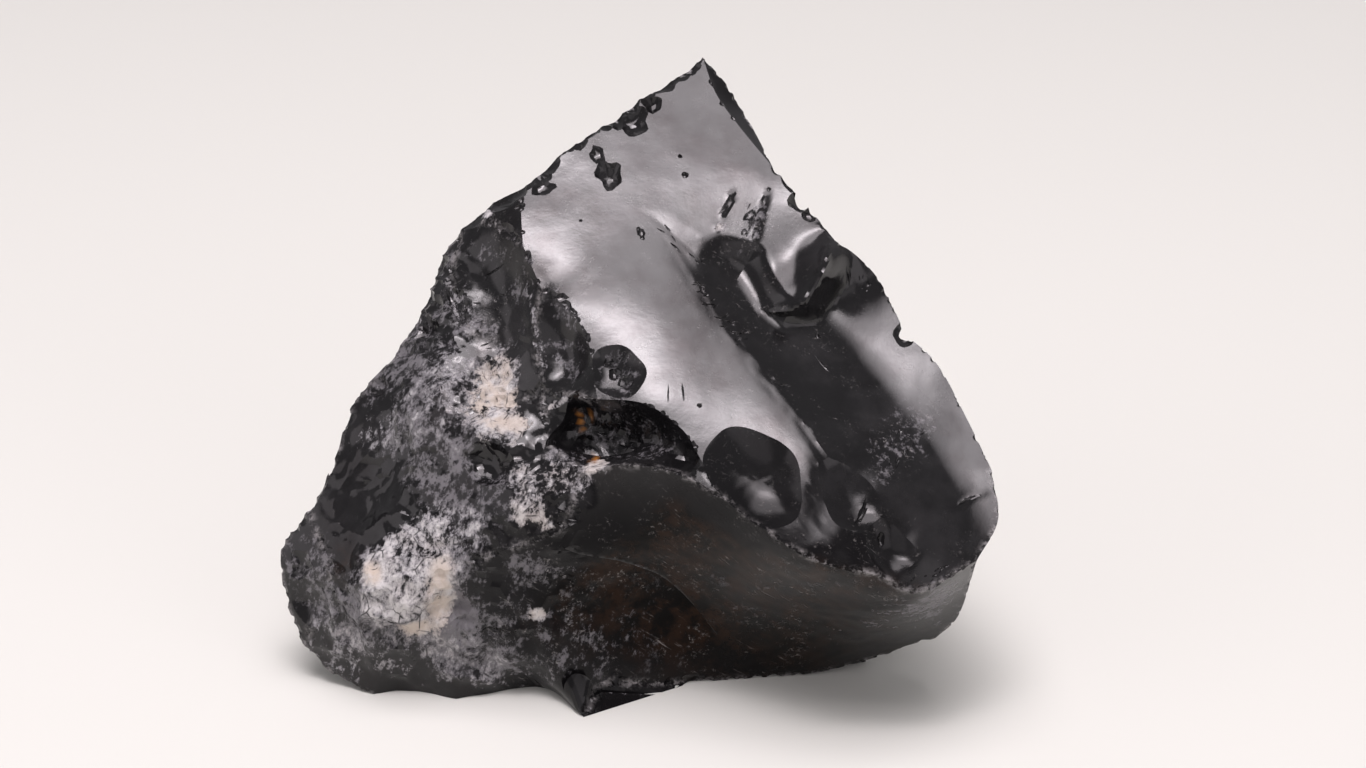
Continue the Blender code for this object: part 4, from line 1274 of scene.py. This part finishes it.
# Haze of fine bruises round the crushed glass and a painted highlight on the tip, dust, specks and
# scratches
bruise_and_sheen = sums("MULTIPLY_ADD", coarse, 0.9, mask("haze"))
bruise_and_sheen = sums("MULTIPLY_ADD", fine, 0.8, bruise_and_sheen)
bruise_and_sheen = sums("MULTIPLY", span(bruise_and_sheen, 0.4, 0.95), span(mask("haze"), 0.0, 0.15))
dust = span(grain(DUST_SIZE, 8.0, roughness=0.65), 0.42, 0.75)
mottled = span(grain(MOTTLE_SIZE, 8.0, roughness=0.7), 0.42, 0.62)
# Dust is thinned where the reflection carries painted shade, so those places stay dark
settled = sums("MULTIPLY_ADD", mask("painted_shade"), -DUST_KEPT_OFF, 1.0)
settled = sums("MULTIPLY", dust, settled)
body = blend(settled, GLASS, DUSTY_GLASS)
# Painted reflection: the lower face turns a mottled brown where it mirrors a brown ruler; a brown
# spot on the tip too
body = blend(mask("brown"), body, blend(mottled, BROWN_DARK, PAINTED_BROWN_REFLECTION))
body = blend(bruise_and_sheen, body, HAZE)
clusters = span(grain(CLUSTER_SIZE, 6.0, roughness=0.65), 0.48, 0.62)
speck = sums("MULTIPLY", span(grain(SPECK_SIZE, 6.0, roughness=0.8), 0.55, 0.68), clusters)
scratch = span(grain(SCRATCH_SIZE, 4.0, scratched, roughness=0.7), 0.6, 0.74)
scratch = sums("MULTIPLY", scratch, span(grain(SCRATCH_SPREAD, 5.0), 0.5, 0.66))
specks = sums("MULTIPLY", sums("MAXIMUM", speck, scratch), mask("scuff"))
body = blend(sums("MINIMUM", specks, SPECK_COVER), body, SPECK)
# Worn ridges: pale rough chipping that also stands in for painted highlights along the edges
chipping_and_glint = span(grain(CHIPPED_SIZE, 7.0, roughness=0.75), 0.46, 0.62)
chipping_and_glint = sums("MULTIPLY", mask("wear_and_glint"), chipping_and_glint)
body = blend(chipping_and_glint, body, WEAR_AND_GLINT_GREY)
body = blend(crushed, body, pale)
# Painted glow: amber where light shines through a thin rim
body = blend(mask("amber_glow"), body, PAINTED_AMBER_GLOW)
feed(shader.inputs["Base Color"], body)
cloud = span(grain(CLOUD_SIZE, 9.0, roughness=0.68), 0.4, 0.75)
# Painted shade and painted brown reflection: the specular tint is darkened there, and turned brown
# where the brown mask lies
painted_shade = blend(mask("brown"), PAINTED_SHADE_TINT, blend(mottled, PAINTED_SHADE_TINT, BROWN_TINT))
tint = blend(mask("painted_shade"), blend(cloud, CLEAR_TINT, CLOUD_TINT), painted_shade)
feed(shader.inputs["Specular Tint"], tint)
roughness = sums("MULTIPLY_ADD", dust, DUST_ADDS, CLEAN_ROUGHNESS)
scuffed = sums("MULTIPLY", mask("scuff"), grain(1.2, 6.0))
roughness = sums("MULTIPLY_ADD", scuffed, SCUFF_ADDS, roughness)
roughness = sums("MULTIPLY_ADD", bruise_and_sheen, BRUISE_ADDS, roughness)
roughness = sums("MAXIMUM", roughness, sums("MULTIPLY", crushed, CRUSHED_ROUGHNESS))
roughness = sums("MAXIMUM", roughness, sums("MULTIPLY", chipping_and_glint, WORN_ROUGHNESS))
roughness = sums("MAXIMUM", roughness, sums("MULTIPLY", specks, SPECK_ROUGHNESS))
feed(shader.inputs["Roughness"], roughness)

grit = knot("ShaderNodeBump")
grit.inputs["Distance"].default_value = GRIT_DEPTH * MM
feed(grit.inputs["Strength"], sums("MAXIMUM", crushed, sums("MULTIPLY", bruise_and_sheen, 0.35)))
feed(grit.inputs["Height"], grain(0.4, 7.0, frayed, roughness=0.78))
lines = knot("ShaderNodeBump")
lines.inputs["Distance"].default_value = SCRATCH_DEPTH * MM
feed(lines.inputs["Strength"], sums("MULTIPLY", mask("scuff"), 0.6))
feed(lines.inputs["Height"], grain(0.25, 5.0, scratched, roughness=0.7))
film = knot("ShaderNodeBump")
film.inputs["Distance"].default_value = FILM_DEPTH * MM
film.inputs["Strength"].default_value = FILM_STRENGTH
feed(film.inputs["Height"], grain(0.8, 8.0, roughness=0.7))
tree.links.new(grit.outputs[0], lines.inputs["Normal"])
tree.links.new(lines.outputs[0], film.inputs["Normal"])
tree.links.new(film.outputs[0], shader.inputs["Normal"])

stone.data.materials.clear()
stone.data.materials.append(glass)
stone.data.shade_smooth()
stone.data.set_sharp_from_angle(angle=math.radians(SHARP_FROM))
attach(stone, "root")
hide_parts("obsidian_chunk")

# The floor
# A plain pale sheet of matt card under the stone.

FLOOR_SIZE = 3.0
FLOOR_COLOUR = (0.72, 0.725, 0.68, 1.0)
FLOOR_ROUGHNESS = 0.75
FLOOR_SHINE = 0.2

sheet = bpy.data.meshes.new("floor")
half = FLOOR_SIZE / 2
corners = [(-half, -half, 0), (half, -half, 0), (half, half, 0), (-half, half, 0)]
sheet.from_pydata(corners, [], [(0, 1, 2, 3)])
floor = bpy.data.objects.new("floor", sheet)
bpy.context.scene.collection.objects.link(floor)
card = bpy.data.materials.new("pale card")
card.use_nodes = True
card_shader = card.node_tree.nodes["Principled BSDF"]
card_shader.inputs["Base Color"].default_value = FLOOR_COLOUR
card_shader.inputs["Roughness"].default_value = FLOOR_ROUGHNESS
card_shader.inputs["Specular IOR Level"].default_value = FLOOR_SHINE
sheet.materials.append(card)

# The studio light
# One wide softbox hangs over the stone, a little to the front. Its lamp sits behind the cloth, so
# an oval patch of it glows brighter than the rest, and it grows dim towards its right end. White
# boards round the table fill the shadows.

SOFTBOX_PLACE = (0.025, -0.075, 0.5)
SOFTBOX_WIDE = 0.38
SOFTBOX_DEEP = 0.35
SOFTBOX_RADIANCE = 5.9
GLOW_PLACE = (-0.035, -0.122)
GLOW_HALF_WIDE = 0.09
GLOW_HALF_DEEP = 0.037
GLOW_GAIN = 3.9
DIM_FROM = 0.07
DIM_SHARE = 0.8
CLOTH_COLOUR = (1.0, 0.925, 0.965)
ROOM = (0.29, 0.28, 0.29, 1.0)


def hang(name, place, wide, deep, radiance):
    """A lamp with a flat face of even brightness, which looks straight down as it is hung."""
    lamp = bpy.data.lights.new(name, "AREA")
    lamp.shape = "RECTANGLE"
    lamp.size = wide
    lamp.size_y = deep
    lamp.energy = radiance * math.pi * wide * deep
    lamp.color = CLOTH_COLOUR
    hung = bpy.data.objects.new(name, lamp)
    hung.location = place
    bpy.context.scene.collection.objects.link(hung)
    return hung


softbox = hang("softbox", SOFTBOX_PLACE, SOFTBOX_WIDE, SOFTBOX_DEEP, SOFTBOX_RADIANCE)
softbox.data.use_nodes = True
tree = softbox.data.node_tree
cloth = tree.nodes["Emission"]
spread = knot("ShaderNodeSeparateXYZ")
tree.links.new(knot("ShaderNodeNewGeometry").outputs["Parametric"], spread.inputs[0])
across_share = (GLOW_PLACE[0] - SOFTBOX_PLACE[0]) / SOFTBOX_WIDE + 0.5
along_share = (GLOW_PLACE[1] - SOFTBOX_PLACE[1]) / SOFTBOX_DEEP + 0.5
aside = sums("SUBTRACT", spread.outputs[0], across_share)
aside = sums("DIVIDE", aside, GLOW_HALF_WIDE / SOFTBOX_WIDE)
ahead = sums("SUBTRACT", spread.outputs[1], along_share)
ahead = sums("DIVIDE", ahead, GLOW_HALF_DEEP / SOFTBOX_DEEP)
away = sums("ADD", sums("MULTIPLY", aside, aside), sums("MULTIPLY", ahead, ahead))
glow = sums("EXPONENT", sums("MULTIPLY", away, -1.0))
dim_share = (DIM_FROM - SOFTBOX_PLACE[0]) / SOFTBOX_WIDE + 0.5
dim = sums("MULTIPLY_ADD", span(spread.outputs[0], dim_share, 1.0), -DIM_SHARE, 1.0)
feed(cloth.inputs["Strength"], sums("MULTIPLY", sums("MULTIPLY_ADD", glow, GLOW_GAIN, 1.0), dim))

# White boards that stand to the left, in front and to the right: place, size and how bright
BOARDS = [
    ((-0.60, -0.25, 0.22), 0.5, 0.9),
    ((0.02, -0.78, 0.40), 0.6, 0.5),
    ((0.50, -0.48, 0.25), 0.45, 1.0),
]
for place, size, radiance in BOARDS:
    board = hang("board", place, size, size, radiance)
    board.rotation_euler = (-Vector(place)).to_track_quat("-Z", "Y").to_euler()
room = bpy.data.worlds.new("room")
room.use_nodes = True
room.node_tree.nodes["Background"].inputs[0].default_value = ROOM
bpy.context.scene.world = room
bpy.context.scene.view_settings.view_transform = "Standard"

# The camera
# It stands in front and looks down on the stone as the photograph does.

FOCUS_PIXELS = 3000.0
PICTURE_WIDTH = 1366.0
SENSOR = 36.0

camera = bpy.data.objects.new("camera", bpy.data.cameras.new("camera"))
bpy.context.scene.collection.objects.link(camera)
bpy.context.scene.camera = camera
camera.data.sensor_width = SENSOR
camera.data.lens = SENSOR * FOCUS_PIXELS / PICTURE_WIDTH
camera.data.clip_start = 0.001
camera.location = Vector(seen([(EYE_ACROSS, 0.0, -EYE_DISTANCE)])[0]) * MM
camera.rotation_euler = (math.radians(90.0 - EYE_TILT), 0.0, 0.0)
